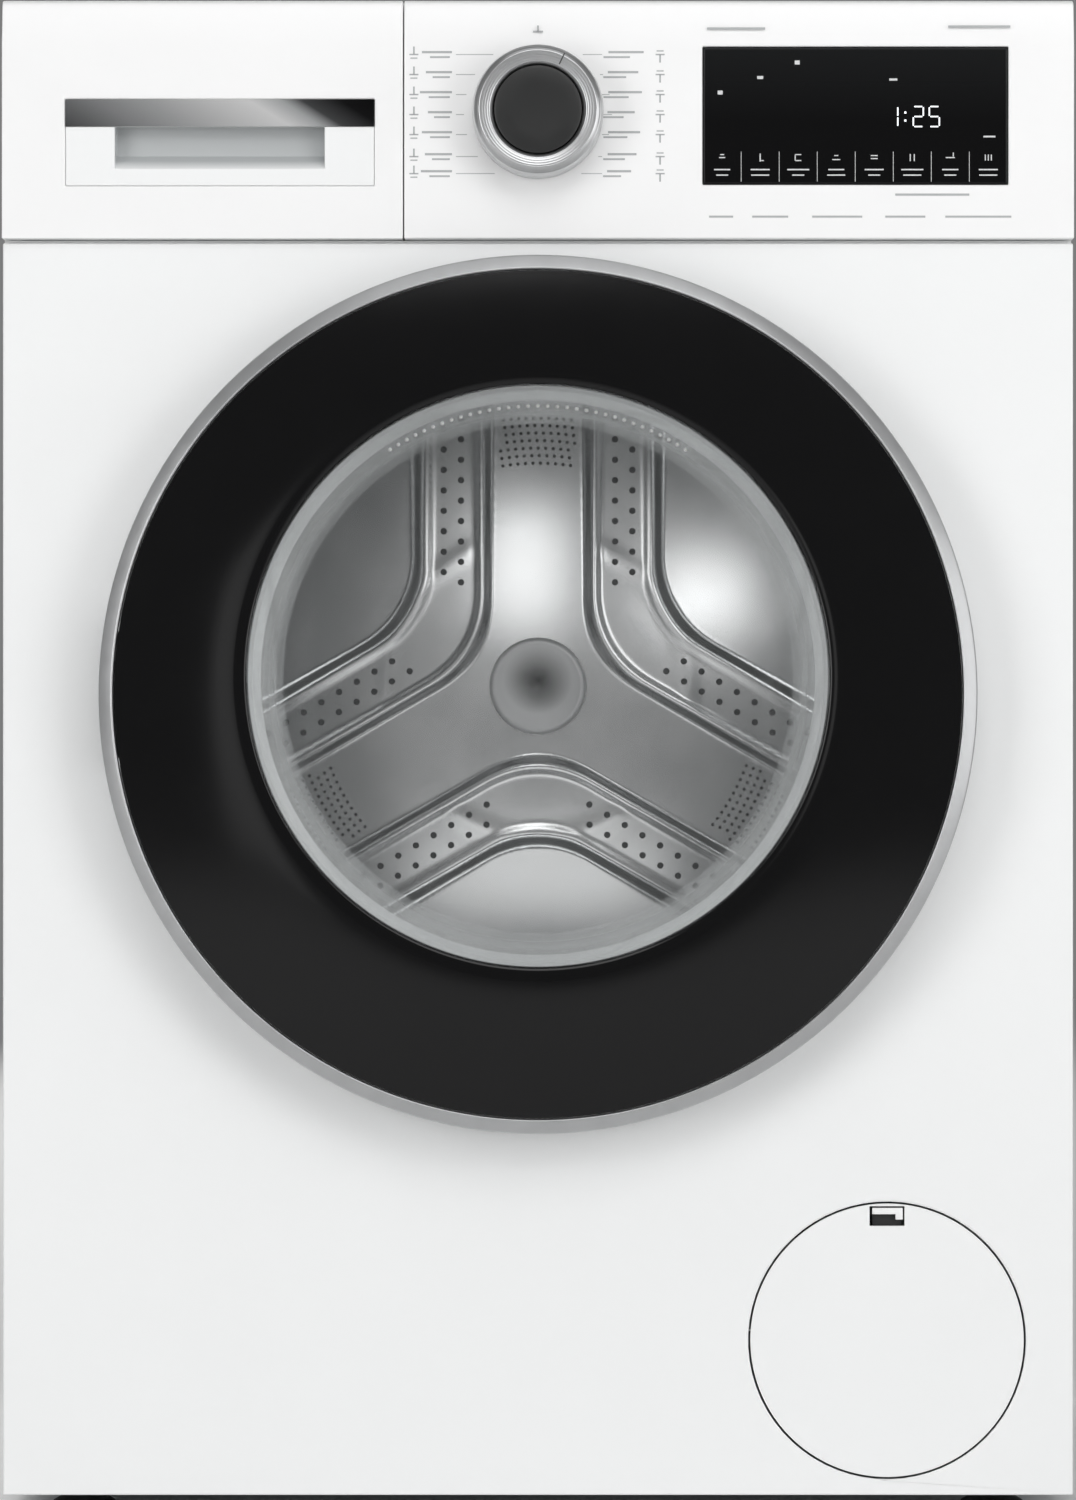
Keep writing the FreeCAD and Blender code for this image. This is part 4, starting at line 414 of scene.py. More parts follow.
def repeat_tree(name, shape, material, inputs):
    """A tree that sets one small shape on every vertex, turned to face along its 'facing' direction."""
    tree = bpy.data.node_groups.new(name, "GeometryNodeTree")
    tree.interface.new_socket("Geometry", in_out="INPUT", socket_type="NodeSocketGeometry")
    for label in inputs:
        tree.interface.new_socket(label, in_out="INPUT", socket_type="NodeSocketFloat")
    tree.interface.new_socket("Geometry", in_out="OUTPUT", socket_type="NodeSocketGeometry")
    given = add(tree, "NodeGroupInput")
    facing = add(tree, "GeometryNodeInputNamedAttribute", {"Name": "facing"}, data_type="FLOAT_VECTOR")
    turn = add(tree, "FunctionNodeAlignRotationToVector", {"Vector": facing.outputs["Attribute"]}, axis="Z")
    part = shape(tree, given)
    spots = add(tree, "GeometryNodeInstanceOnPoints", {"Points": given.outputs["Geometry"], "Instance": part,
                                                       "Rotation": turn.outputs[0]})
    real = add(tree, "GeometryNodeRealizeInstances", {"Geometry": spots.outputs[0]})
    finish = add(tree, "GeometryNodeSetMaterial", {"Geometry": real.outputs[0], "Material": material})
    add(tree, "NodeGroupOutput", {"Geometry": finish.outputs[0]})
    return tree


def stud(tree, given):
    """A short round bar with a coarse rim: a rivet, a dimple or the dark of a hole."""
    bar = add(tree, "GeometryNodeMeshCylinder", {"Vertices": 10, "Radius": given.outputs["Radius"],
                                                 "Depth": given.outputs["Height"]}, fill_type="NGON")
    return bar.outputs["Mesh"]


def bead(tree, given):
    """A small round bead."""
    ball = add(tree, "GeometryNodeMeshIcoSphere", {"Radius": given.outputs["Radius"], "Subdivisions": 2})
    return ball.outputs["Mesh"]


def screw_head(tree, given):
    """A domed head with a cross recess."""
    dome = add(tree, "GeometryNodeMeshUVSphere", {"Segments": 20, "Rings": 10, "Radius": given.outputs["Radius"]})
    squeeze = add(tree, "ShaderNodeCombineXYZ", {"X": 1.0, "Y": 1.0, "Z": given.outputs["Flatness"]})
    low = add(tree, "GeometryNodeTransform", {"Geometry": dome.outputs["Mesh"], "Scale": squeeze.outputs[0]})
    bar_size = add(tree, "ShaderNodeCombineXYZ", {"X": 0.0052, "Y": 0.0011, "Z": 0.002})
    cross = []
    for turn in (0.0, math.pi / 2):
        bar = add(tree, "GeometryNodeMeshCube", {"Size": bar_size.outputs[0]})
        cross.append(add(tree, "GeometryNodeTransform", {"Geometry": bar.outputs["Mesh"],
                                                         "Translation": (0, 0, 0.0026),
                                                         "Rotation": (0, 0, turn)}).outputs[0])
    cutter = add(tree, "GeometryNodeMeshBoolean", operation="DIFFERENCE", solver="EXACT")
    tree.links.new(low.outputs[0], cutter.inputs["Mesh 1"])
    for bar in cross:
        tree.links.new(bar, cutter.inputs["Mesh 2"])
    return cutter.outputs["Mesh"]


def repeated(name, spots, shape, material, body, **values):
    """Small shapes at (place, facing) spots in millimetres, as one plain mesh."""
    mesh = bpy.data.meshes.new(name)
    mesh.from_pydata([tuple(c * MM for c in spot) for spot, _ in spots], [], [])
    facing = mesh.attributes.new("facing", "FLOAT_VECTOR", "POINT")
    facing.data.foreach_set("vector", [c for _, way in spots for c in way])
    item = link(name, mesh, material)
    tree = repeat_tree(name + "_tree", shape, material, list(values))
    modifier = item.modifiers.new("repeat", "NODES")
    modifier.node_group = tree
    sockets = {s.name: s.identifier for s in tree.interface.items_tree if s.in_out == "INPUT"}
    for label, number in values.items():
        modifier[sockets[label]] = number * MM if label != "Flatness" else number
    baked(item, 50)
    return placed(item, body)


# ---------------------------------------------------------------- cabinet

ROUNDED_EDGES = {
    "left_side_panel": (ENAMEL, 0.3), "right_side_panel": (ENAMEL, 0.3), "top_plate": (MELAMINE, 1.0),
    "control_panel": (MOULDING, 0.8, 3), "drawer_front": (MOULDING, 0.8, 3), "base_tray": (TUB_PLASTIC, 0.5),
    "rear_panel": (ZINC, 0.2), "rear_cover": (ZINC, 0.6), "display_glass": (SMOKED, 1.2, 3),
    "drawer_handle": (GRIP, 0.8, 3), "drawer_trim": (FOIL, 0.3), "service_flap": (ENAMEL, 0.25),
    "door_frame": (PALE, 0.5), "hinge_arm": (CASTING, 0.8), "hinge_bracket": (CASTING, 0.6),
    "door_hook": (PALE, 0.4), "door_lock": (NYLON, 0.6), "drawer_tray": (PALE, 0.8),
    "softener_siphon": (PALE, 0.5), "inlet_valve": (NYLON, 0.6), "mains_gland": (NYLON, 0.4),
}
refined("front_panel", ENAMEL, 0.9, flatten=False)
for part_name, looks in ROUNDED_EDGES.items():
    refined(part_name, *looks)

FINISHES = {
    "control_board": BOARD, "dispenser_housing": TUB_PLASTIC, "drain_pump": PALE, "drain_hose": BLACK_RUBBER,
    "damper_cylinders": TUB_PLASTIC, "tub_front": TUB_PLASTIC, "tub_rear": TUB_PLASTIC, "tub_bolts": STEEL,
    "bearings": STEEL, "counterweights": WEIGHT, "heater": STAINLESS, "motor_housing": MOTOR_PAINT,
    "drive_belt": BLACK_RUBBER, "damper_rods": STEEL, "motor_rotor": STEEL, "drum_spider": CASTING,
    "drum_pulley": CASTING, "pump_impeller": PALE, "pump_filter": PALE,
}
for part_name, part_finish in FINISHES.items():
    NODES[part_name].data.materials.clear()
    NODES[part_name].data.materials.append(part_finish)


def cover_screws():
    """Six domed screws down the two sides of the rear cover."""
    low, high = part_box("cover_screws")
    head = 4.5
    edge = head * MM
    spots = [((x / MM, high.y / MM - 2.0, z / MM), (0, 1, 0)) for x in (low.x + edge, high.x - edge)
             for z in (low.z + edge, (low.z + high.z) / 2, high.z - edge)]
    item = repeated("cover_screw_heads", spots, screw_head, STEEL, "cabinet", Radius=head, Flatness=0.42)
    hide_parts("cover_screws")


cover_screws()


def foot(node):
    """A foot with a hexagonal nut on its rod, all in the black nylon; the rubber sole and the steel rod get no finish
    of their own.
    """
    low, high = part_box(node)
    x, y = (low.x + high.x) / 2 / MM, (low.y + high.y) / 2 / MM
    profile = rounded([(0, 0), (17.8, 0), (17.8, 4.5), (11, 8.6), (0, 8.6)], 1.2)
    vertices, faces = [], []
    steps = 64
    for k in range(steps):
        turn = 2 * math.pi * k / steps
        for radius, z in profile:
            vertices.append((x + radius * math.cos(turn), y + radius * math.sin(turn), z))
    count = len(profile)
    for k in range(steps):
        after = (k + 1) % steps
        for j in range(count - 1):
            faces.append((k * count + j, k * count + j + 1, after * count + j + 1, after * count + j))
    nut, rod = (8.0, 8.6, 12.6, 6), (4.8, 12.6, high.z / MM, 32)
    for radius, z0, z1, sides in (nut, rod):
        base = len(vertices)
        turns = [2 * math.pi * k / sides for k in range(sides)]
        for z in (z0, z1):
            vertices += [(x + radius * math.cos(turn), y + radius * math.sin(turn), z) for turn in turns]
        faces += [(base + k, base + (k + 1) % sides, base + sides + (k + 1) % sides, base + sides + k)
                  for k in range(sides)]
        faces += [tuple(base + k for k in range(sides)), tuple(base + sides + k for k in range(sides))]
    placed(built(node + "_skin", NYLON, vertices, faces), BODY_OF[node], node)


for foot_node in ("foot_front_left", "foot_front_right", "foot_rear_left", "foot_rear_right"):
    foot(foot_node)


def rounded_boxes(name, material, boxes, edge_mm):
    """Joined boxes with their edges rounded."""
    item = joined(name, material, boxes)
    bevel = item.modifiers.new("round", "BEVEL")
    bevel.width = edge_mm * MM
    bevel.segments = 2
    bevel.limit_method = "ANGLE"
    return baked(item, 35)


def latch():
    """The white thumb tab of the flap's catch, over a dark stem that fills its window as painted shade for the cavity
    behind the tab.
    """
    edge = 0.25
    tab = rounded_boxes("flap_latch_tab", MOULDING, [
        ((186.8, -272, 169.9), (203.8, -268.5, 173.4)),
        ((199.8, -272, 166.9), (203.8, -268.5, 170.4))], edge)
    placed(tab, "latch", "flap_latch")
    # Painted shade: a dark nylon block put in the latch window where the cavity lies in shade.
    shade_stem = rounded_boxes("flap_latch_shade_stem", NYLON, [
        ((186.8, -269, 156.4), (203.8, -266, 173.4)),
        ((192.8, -269.6, 157.4), (197.8, -266.4, 162.0))], edge)
    placed(shade_stem, "latch")


latch()


def gap_lip():
    """The folded lip of the front panel that is seen in the gap below the fascia."""
    section = [(-268.6, 713.2), (-268.0, 714.1), (-266.6, 714.2), (-264.2, 713.9), (-264.2, 712.7), (-268.0, 712.7)]
    vertices = [(x, y, z) for x in (-296.5, 296.5) for y, z in section]
    count = len(section)
    faces = [(k, (k + 1) % count, count + (k + 1) % count, count + k) for k in range(count)]
    faces += [tuple(range(count)), tuple(range(count, 2 * count))]
    placed(built("fascia_gap_lip", ENAMEL, vertices, faces), "cabinet")


gap_lip()

# ---------------------------------------------------------------- soft and sprung pieces between cabinet and tub


def stretched(node, material):
    """A CAD part that reaches from the cabinet to the hanging tub."""
    item = merged_copy(node, flatten=False)
    item.data.materials[0] = material
    soften(item.data, 50)
    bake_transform(item)
    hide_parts(node)
    return item


stretched("suspension_springs", STEEL)
stretched("dispenser_hose", BLACK_RUBBER)
stretched("sump_hose", BLACK_RUBBER)


def gasket():
    """The rubber bellows: a lip in the front panel's mouth, two folds, and a lip on the tub's collar."""
    profile = rounded([
        (185.6, -272.9), (185.6, -257.7), (187.4, -257.7), (187.4, -267.8), (190.2, -267.8), (190.2, -255.0),
        (196.8, -248.5), (196.8, -236.2), (183.2, -228.8), (183.2, -218.4), (180.3, -218.4), (180.3, -226.3),
        (175.1, -226.3), (175.1, -229.2), (179.2, -230.0), (194.0, -238.2), (194.0, -245.8), (184.2, -251.8),
        (156.3, -245.4), (155.9, -250.8), (183.0, -257.6), (183.0, -272.9)], 1.4)
    item = turned("gasket_bellows", RUBBER, profile, AXIS, 224, 60)
    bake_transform(item)
    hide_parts("door_gasket")


gasket()

# ---------------------------------------------------------------- door


def door_trim():
    """The silver ring round the door, with a notch for the hinge."""
    profile = rounded([(234.3, -308.6), (234.4, -310.8), (235.4, -311.6), (242.6, -307.4), (243.0, -305.4),
                       (243.0, -275.2), (240.4, -275.2), (240.4, -305.0), (237.0, -308.6)], 0.8)
    item = turned("door_trim_ring", SILVER, profile, DOOR, 288)
    cutter = joined("hinge_notch", SILVER, [((-250, -304, 420), (-198, -268, 500))])
    notch = item.modifiers.new("notch", "BOOLEAN")
    notch.object = cutter
    notch.solver = "EXACT"
    baked(item, 35)
    bpy.data.objects.remove(cutter)
    placed(item, "door", "door_trim")


def door_face():
    """The black ring between the trim and the window, with the window's deep collar."""
    steps = 256
    inner, outer, crest, fall, level = 162.8, 233.7, -317.8, 5.6, 0.10
    collar = [(160.4, -300.6), (160.2, -309.0), (160.4, -315.6), (161.2, -317.2), (inner, crest)]
    rows = [(radius, AXIS, y) for radius, y in collar]
    for step in range(1, 15):
        t = step / 14
        slope = (max(0.0, t - level) / (1 - level)) ** 1.3
        rows.append((inner + (outer - inner) * t, AXIS + (DOOR - AXIS) * t, crest + fall * slope))
    rows += [(outer, DOOR, -308.4), (229.0, DOOR, -308.2), (164.5, AXIS, -312.0), (163.6, AXIS, -300.6)]
    vertices, faces = [], []
    count = len(rows)
    for k in range(steps):
        turn = 2 * math.pi * k / steps
        vertices += [(radius * math.cos(turn), y, centre + radius * math.sin(turn)) for radius, centre, y in rows]
    for k in range(steps):
        after = (k + 1) % steps
        faces += [(k * count + j, k * count + (j + 1) % count, after * count + (j + 1) % count, after * count + j)
                  for j in range(count)]
    placed(built("door_black_face", BLACK, vertices, faces), "door", "door_cover")


def door_bowl():
    """The pressed glass bowl, from its flange behind the face to its domed back in the drum's mouth."""
    outer = [(173.8, -295.1), (163.4, -295.1), (161.8, -292.0), (150.3, -220.0), (148.4, -210.0), (143.0, -203.0),
             (133.0, -199.2), (106.0, -193.9), (72.0, -189.0), (40.0, -186.2), (0, -185.1)]
    inner = [(0, -189.1), (38.0, -190.2), (70.0, -193.2), (102.0, -197.9), (128.0, -203.0), (137.5, -206.4),
             (143.6, -212.6), (146.2, -221.0), (157.9, -297.0), (158.6, -298.8), (173.8, -299.0)]
    item = turned("door_bowl_glass", GLASS, outer + inner, AXIS, 224, 60)
    placed(item, "door", "door_bowl")


door_trim()
door_face()
door_bowl()

# ---------------------------------------------------------------- drum


def drum_wall():
    """The drum's rolled wall, its rounded front shoulder and the curled lip of its mouth."""
    profile = [(239.9, -192.8), (239.9, 149.9), (239.0, 149.9), (239.0, -192.8), (237.4, -198.0), (233.0, -202.6),
               (228.0, -203.9), (174.2, -203.9), (174.0, -197.4), (171.2, -197.2), (170.1, -199.0), (170.2, -202.0),
               (171.6, -204.3), (174.2, -204.9), (228.0, -204.9), (234.0, -203.4), (238.4, -198.6)]
    placed(turned("drum_wall", STAINLESS, profile, AXIS, 256, 30), "drum", "drum_shell")


ARMS = [math.radians(a) for a in (90, 210, 330)]


def arm_distance(x, z):
    """How far a spot on the rear wall is from the nearest arm's middle line, eased across the crotches."""
    near = []
    for turn in ARMS:
        along = x * math.cos(turn) + z * math.sin(turn)
        across = abs(-x * math.sin(turn) + z * math.cos(turn))
        near.append(across if along > 0 else math.hypot(x, z))
    near.sort()
    gap = max(0.0, 1 - (near[1] - near[0]) / 34)
    return near[0] - gap * gap * 34 * 0.25


def ease(value, low, high):
    """A smooth step from 0 at low to 1 at high."""
    t = min(1.0, max(0.0, (value - low) / (high - low)))
    return t * t * (3 - 2 * t)


def rear_wall_height(x, z):
    """The pressed relief in millimetres towards the door: a raised chevron band between two ridges."""
    d = arm_distance(x, z)
    radius = math.hypot(x, z)
    relief = 4.6 * ease(d, 29, 35) - 1.2 * ease(d, 36, 41) + 1.2 * ease(d, 66, 71) - 5.0 * ease(d, 73, 80)
    relief += 0.45 * math.exp(-((radius - 96) / 6) ** 2) * ease(d, 34, 46)
    return relief * (1 - ease(radius, 196, 208))


def on_rear_wall(x, z, proud=0.0):
    """The spot on the rear wall's front side at a distance across and up from its middle."""
    return x, 148.6 - rear_wall_height(x, z) - proud, AXIS + z


def drum_rear():
    """The pressed rear wall, with two rows of holes down each chevron band."""
    rings, steps = 128, 400
    reach = 238.6
    vertices = [on_rear_wall(0, 0)]
    faces = []
    for j in range(1, rings + 1):
        radius = reach * j / rings
        for k in range(steps):
            turn = 2 * math.pi * k / steps
            vertices.append(on_rear_wall(radius * math.cos(turn), radius * math.sin(turn)))
    for k in range(steps):
        faces.append((0, 1 + k, 1 + (k + 1) % steps))
    for j in range(rings - 1):
        for k in range(steps):
            a, b = 1 + j * steps, 1 + (j + 1) * steps
            faces.append((a + k, b + k, b + (k + 1) % steps, a + (k + 1) % steps))
    rim = len(vertices)
    for k in range(steps):
        turn = 2 * math.pi * k / steps
        vertices.append((reach * math.cos(turn), 149.9, AXIS + reach * math.sin(turn)))
    last = 1 + (rings - 1) * steps
    faces += [(last + k, rim + k, rim + (k + 1) % steps, last + (k + 1) % steps) for k in range(steps)]
    faces.append(tuple(rim + k for k in range(steps)))
    placed(built("drum_rear_wall", STAINLESS, vertices, faces, 60), "drum", "drum_back")
    holes = []
    for turn in ARMS:
        for side in (-1, 1):
            for along in range(66, 190, 13):
                for across in (49, 60):
                    spot = along + (6.5 if across == 60 else 0)
                    x = spot * math.cos(turn) - side * across * math.sin(turn)
                    z = spot * math.sin(turn) + side * across * math.cos(turn)
                    if math.hypot(x, z) < 186 and arm_distance(x, z) > 44:
                        holes.append((on_rear_wall(x, z, 0.05), (0, -1, 0)))
    repeated("rear_wall_holes", holes, stud, HOLE, "drum", Radius=2.1, Height=0.3)


def rear_perforations():
    """Three fields of fine perforations near the rim of the rear wall, each beside one arm."""
    spots = []
    pitch = 4.8
    for arm in ARMS:
        for row in range(7):
            radius = 142 + pitch * row
            for k in range(int(radius * math.radians(50) / pitch)):
                turn = arm + math.radians(-20) + (k + 0.5 * (row % 2)) * pitch / radius
                x, z = radius * math.cos(turn), radius * math.sin(turn)
                if not 24 <= arm_distance(x, z) <= 84:
                    spots.append((on_rear_wall(x, z, 0.05), (0, -1, 0)))
    repeated("rear_perforations", spots, stud, HOLE, "drum", Radius=1.1, Height=0.3)


def wall_holes():
    """Rows of pressed perforations round the drum wall, left out under the lifters."""
    spots = []
    rows, columns, pitch, reach = 24, 120, 12.5, 238.8
    lifter_half_angle = 0.165
    for row in range(rows):
        for k in range(columns):
            turn = 2 * math.pi * (k + 0.5 * (row % 2)) / columns
            if min(abs((turn - arm + math.pi) % (2 * math.pi) - math.pi) for arm in ARMS) < lifter_half_angle:
                continue
            way = (math.cos(turn), 0, math.sin(turn))
            spots.append(((reach * way[0], -165 + row * pitch, AXIS + reach * way[2]), tuple(-c for c in way)))
    repeated("drum_wall_holes", spots, stud, HOLE, "drum", Radius=1.7, Height=0.4)


def lifters():
    """Three moulded paddles with a rounded crest and shallow side flutes."""
    profile = []
    for step in range(33):
        t = step / 32 * 2 - 1
        width = 34.6 * t
        crest = 51.5 * (1 - ease(abs(t), 0.28, 1.0)) + 2
        flute = 1.6 * math.exp(-((abs(t) - 0.55) / 0.08) ** 2)
        profile.append((width, crest - flute))
    vertices, faces = [], []
    rows = 20
    for turn in ARMS:
        base = len(vertices)
        for row in range(rows + 1):
            share = row / rows
            y = -178.5 + 314 * share
            swell = min(1.0, 0.45 + 0.55 * ease(min(share, 1 - share), 0, 0.10))
            for across, height in profile:
                depth = 238.4 - height * swell if abs(across) < 34 else 236.5
                spot = Vector((depth, -across))
                vertices.append((spot.x * math.cos(turn) - spot.y * math.sin(turn), y,
                                 AXIS + spot.x * math.sin(turn) + spot.y * math.cos(turn)))
        count = len(profile)
        for row in range(rows):
            for k in range(count - 1):
                a = base + row * count + k
                faces.append((a, a + 1, a + count + 1, a + count))
        ends = [tuple(base + k for k in range(count)), tuple(base + rows * count + k for k in range(count))]
        underside = tuple(base + row * count for row in range(rows + 1)) + tuple(
            base + row * count + count - 1 for row in range(rows, -1, -1))
        faces += ends + [underside]
    placed(built("lifter_paddles", PALE, vertices, faces, 45), "drum", "lifters")


def hub_cap():
    """The dished cap over the shaft's end."""
    profile = [(0, 147.4), (2, 147.2), (5, 146.0), (8, 144.6), (12, 143.3), (17, 142.2), (23, 141.3),
               (26.5, 140.7), (28.2, 140.2), (29.6, 140.9), (30.6, 142.6), (30.9, 147.9), (0, 147.9)]
    placed(turned("hub_cap_dish", SATIN, profile, AXIS, 96, 50), "drum", "hub_cap")


drum_wall()
drum_rear()
rear_perforations()
wall_holes()
lifters()
hub_cap()

# ---------------------------------------------------------------- selector


def selector():
    """The turned ring, the dark cap in it and the pointer line on the ring's face."""
    ring_profile = rounded([(24.75, -299.6), (26.6, -302.2), (32.6, -303.0), (35.6, -300.6), (36.4, -296.0),
                            (36.4, -279.1), (33.8, -279.1), (33.8, -294.0), (24.75, -294.0)], 0.7)
    placed(turned("selector_ring", TURNED, ring_profile, KNOB, 128, 40), "knob", "knob_ring")
    cap = [(0, -299.9), (14, -300.1), (22.5, -300.7), (24.2, -300.2), (24.5, -298.8), (24.5, -293.2), (8, -293.2),
           (8, -279.1), (3.06, -279.1), (3.06, -297.3), (0, -297.3)]
    placed(turned("selector_cap", CHARCOAL, cap, KNOB, 96, 40), "knob", "knob_cap")
    turn = math.radians(90 - 25.6)
    way, side = (math.cos(turn), math.sin(turn)), (-math.sin(turn), math.cos(turn))
    start, end, half = 27.2, 34.0, 0.35
    corners = []
    for y in (-302.75, -303.06):
        for along, across in ((start, -half), (end, -half), (end, half), (start, half)):
            corners.append((along * way[0] + across * side[0], y, KNOB + along * way[1] + across * side[1]))
    pointer = built("selector_pointer", DARK_INK, corners,
                    [(0, 1, 2, 3), (4, 7, 6, 5), (0, 4, 5, 1), (1, 5, 6, 2), (2, 6, 7, 3), (3, 7, 4, 0)])
    placed(pointer, "knob")


selector()

# ---------------------------------------------------------------- printed and lit marks

FASCIA_Y = -278.0
GLASS_Y = -278.2


def marks(name, material, bars, front, body, depth=0.12):
    """Thin raised print: each bar is (x, z, width, height) in millimetres, centred on its place."""
    boxes = [((x - width / 2, front - depth, z - height / 2), (x + width / 2, front + 0.4, z + height / 2))
             for x, z, width, height in bars]
    placed(joined(name, material, boxes), body)


def programme_marks():
    """Rows of programme names as plain bars, each with a small symbol and a leader line."""
    row_heights = (817.08, 805.92, 794.76, 783.6, 772.44, 760.16, 750.68)
    left_lengths = (16.74, 14.51, 17.86, 13.39, 16.74, 15.07, 17.3)
    right_lengths = (24.55, 21.2, 23.44, 18.97, 22.32, 20.09, 16.74)
    curve, curve_z, left_end, right_end, shortest = 41.29, 784.16, 45.76, 35.71, 1.67
    bars, symbols = [], []
    leaders = [(0, 829.91, 5.58, 0.89), (0, 831.59, 0.89, 3.35)]
    for z, left, right in zip(row_heights, left_lengths, right_lengths):
        bars += [(-47.99 - left / 2, z + 1.34, left, 1.23), (-49.1 - left / 3, z - 1.45, left * 0.66, 1.0)]
        bars += [(36.83 + right / 2, z + 1.34, right * 0.8, 1.23), (35.71 + right / 3, z - 1.45, right * 0.6, 1.0)]
        for x, side in ((-69.19, 1), (68.08, -1)):
            symbols += [(x, z, 5.02, 0.78), (x, z + 2.23 * side, 0.89, 4.46), (x, z - 2.01 * side, 3.91, 0.67)]
        reach = math.sqrt(max(0, curve ** 2 - (z - curve_z) ** 2))
        leaders += [(-(reach + left_end) / 2, z, max(shortest, left_end - reach), 0.39),
                    ((reach + right_end) / 2, z, max(shortest, abs(right_end - reach)), 0.39)]
    marks("programme_names", INK, bars, FASCIA_Y, "cabinet")
    marks("programme_symbols", INK, symbols, FASCIA_Y, "cabinet")
    marks("selector_leaders", INK, leaders, FASCIA_Y, "cabinet")


def legend_marks():
    """Grey print above and below the display."""
    bars = [(110.48, 831.59, 32.36, 1.23), (246.08, 832.7, 34.6, 1.23), (219.85, 738.96, 41.29, 1.23)]
    foot_line, thick = 726.68, 1.12
    bars += [(x, foot_line, width, thick) for x, width in
             ((102.11, 13.39), (166.84, 27.9), (245.52, 36.83), (204.79, 22.32), (129.46, 20.09))]
    marks("fascia_legends", INK, bars, FASCIA_Y, "cabinet")


SEGMENTS = {"1": "bc", "2": "abged", "5": "afgcd"}


def digit(x, z, width, height, shown):
    """The bars of one seven-segment figure."""
    half = height / 2
    thick, tall, long = 0.73, half * 0.84, width * 0.8
    places = {"a": (0, half, long, thick), "d": (0, -half, long, thick), "g": (0, 0, long, thick),
              "b": (width / 2, half / 2, thick, tall), "c": (width / 2, -half / 2, thick, tall),
              "f": (-width / 2, half / 2, thick, tall), "e": (-width / 2, -half / 2, thick, tall)}
    return [(x + dx, z + dz, w, h) for dx, dz, w, h in (places[segment] for segment in SEGMENTS[shown])]


def lit_marks():
    """The remaining time in figures, small lamps, and the row of touch keys as symbol and bars."""
    time_z, tall, colon = 782.48, 11.16, 1.12
    bars = digit(198.09, time_z, 5.02, tall, "1") + digit(212.04, time_z, 5.58, tall, "2")
    bars += digit(220.97, time_z, 5.58, tall, "5")
    bars += [(204.79, time_z + 2.23, colon, colon), (204.79, time_z - 2.23, colon, colon)]
    marks("time_figures", LIT, bars, GLASS_Y, "cabinet", 0.05)
    lamps = [(144.52, 812.61, 2.79, 2.23), (123.88, 804.24, 3.35, 1.67), (101.56, 795.87, 2.79, 2.23),
             (198.09, 803.13, 4.46, 1.23), (251.66, 771.32, 6.7, 0.89)]
    symbols = (((0, 0, 3.35, 0.56), (0, 1.67, 2.23, 0.56)),
               ((0, 0, 0.67, 4.46), (1.12, -1.67, 1.67, 0.56)),
               ((0, 1.67, 3.35, 0.56), (0, -1.67, 3.35, 0.56), (-1.67, 0, 0.56, 3.35)),
               ((0, -1.12, 4.46, 0.56), (0, 1.12, 2.23, 0.56)),
               ((0, 1.12, 3.91, 0.56), (0, -0.56, 3.91, 0.56)),
               ((-1.12, 0, 0.56, 3.91), (1.12, 0, 0.56, 3.91)),
               ((0, 0, 5.02, 0.56), (1.67, 1.67, 0.56, 2.23)),
               ((-1.67, 0, 0.56, 3.35), (0, 0, 0.56, 3.35), (1.67, 0, 0.56, 3.35)))
    key_pitch = 21.2
    for key, symbol in enumerate(symbols):
        x = 102.67 + key * key_pitch
        lamps += [(x + dx, 759.6 + dz, w, h) for dx, dz, w, h in symbol]
        lamps += [(x, 752.91, 8.93 + key % 3 * 1.67, 0.73), (x, 749.84, 6.7 + key % 2 * 3.35, 0.67)]
        if key:
            lamps.append((x - key_pitch / 2, 754.58, 0.28, 16.74))
    marks("key_legends", DIM, lamps, GLASS_Y, "cabinet", 0.05)


programme_marks()
legend_marks()
lit_marks()


def bowl_beads():
    """A row of small beads moulded in the top of the bowl's wall."""
    spots = []
    reach, count = 152.2, 33
    for k in range(count):
        turn = math.radians(57 + 66 * k / (count - 1))
        spots.append(((reach * math.cos(turn), -264.0, AXIS + reach * math.sin(turn)), (0, -1, 0)))
    repeated("bowl_beads", spots, bead, MOULDING, "door", Radius=1.15)


bowl_beads()

# ---------------------------------------------------------------- stage, light and camera


def room():
    """A wide pale matt floor."""
    material, tree = blank("pale_floor")
    finish(tree, grain(tree, 400), "f1f1f1", "f3f3f3", Roughness=0.55)
    half = 6000
    floor = built("studio_floor", material, [(-half, -half, 0), (half, -half, 0), (half, half, 0), (-half, half, 0)],
                  [(0, 1, 2, 3)], outward=False)


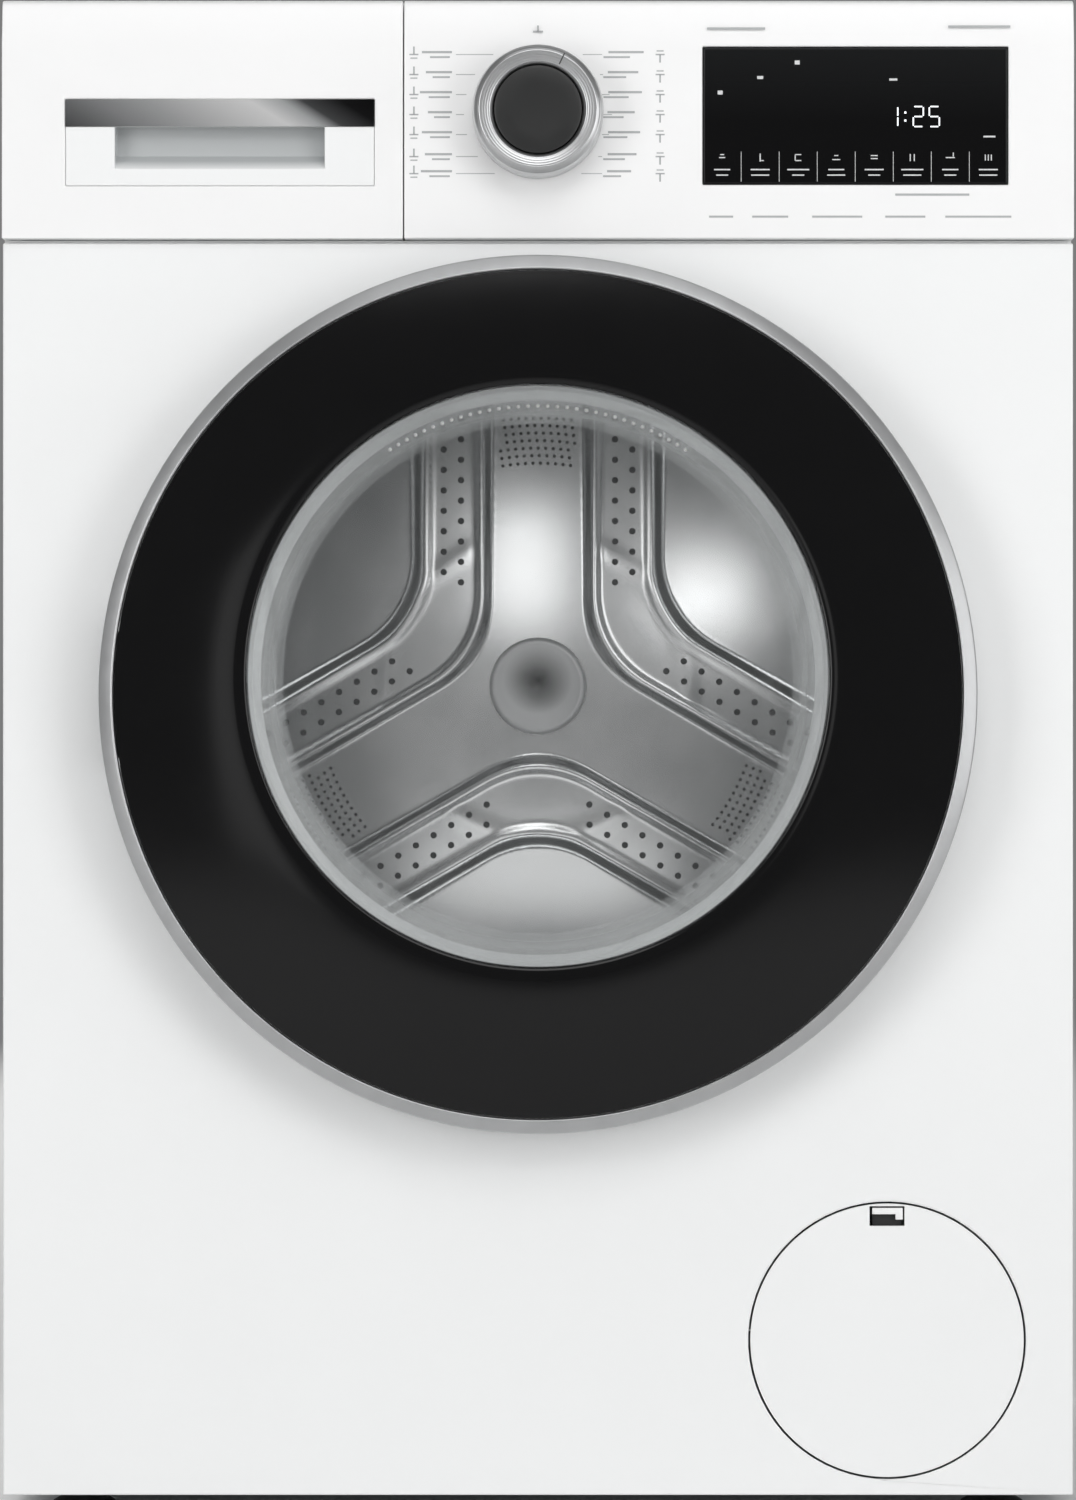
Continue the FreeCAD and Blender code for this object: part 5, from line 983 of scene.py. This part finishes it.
def lamp(name, place, target, width, height, power):
    """A white area light that faces its target."""
    light = bpy.data.lights.new(name, "AREA")
    light.shape = "RECTANGLE"
    light.size, light.size_y = width, height
    light.energy = power
    item = bpy.data.objects.new(name, light)
    item.location = place
    item.rotation_euler = (Vector(target) - Vector(place)).to_track_quat("-Z", "Y").to_euler()
    bpy.context.scene.collection.objects.link(item)


room()
world = bpy.data.worlds.new("studio")
world.use_nodes = True
world.node_tree.nodes.clear()
glow = add(world.node_tree, "ShaderNodeBackground", {"Color": srgb("ffffff"), "Strength": 0.20})
add(world.node_tree, "ShaderNodeOutputWorld", {"Surface": glow.outputs[0]})
bpy.context.scene.world = world
LAMPS = (
    # name, place, target, width, height, power
    ("front_key", (0.4, -2.9, 2.5), (0, -0.2, 0.45), 2.4, 1.6, 28),
    ("right_front", (2.1, -2.75, 0.75), (0, -0.3, 0.45), 1.4, 2.4, 31),
    ("left_front", (-2.1, -2.75, 0.75), (0, -0.3, 0.45), 1.4, 2.4, 36),
    ("right_rim", (2.4, -1.2, 0.6), (0.2, -0.3, 0.45), 0.8, 1.6, 7),
    ("overhead", (0, -1.5, 3.0), (0, 0, 0.5), 2.6, 1.6, 8),
    ("rear_fill", (-1.4, 3.4, 2.0), (0, 0.2, 0.45), 2.4, 2.0, 45),
    ("ring_sheen", (-0.75, -4.6, 0.45), (-0.2, -0.3, 0.45), 0.5, 0.9, 1.2),
    ("drum_right", (0.113, -0.15, 0.536), (0.113, 0.15, 0.53), 0.06, 0.05, 0.028),
    ("drum_low", (0, -0.15, 0.345), (0, 0.15, 0.36), 0.17, 0.05, 0.03),
    ("drum_high", (-0.01, -0.15, 0.555), (0, 0.15, 0.50), 0.05, 0.08, 0.03),
)
for settings in LAMPS:
    lamp(*settings)
bpy.context.scene.view_settings.view_transform = "Standard"

camera = bpy.data.cameras.new("front_camera")
camera.lens = 129
camera.sensor_width = 36
camera_item = bpy.data.objects.new("front_camera", camera)
camera_item.location = (0, -3.275, 0.4293)
camera_item.rotation_euler = (math.radians(90), 0, 0)
bpy.context.scene.collection.objects.link(camera_item)
bpy.context.scene.camera = camera_item
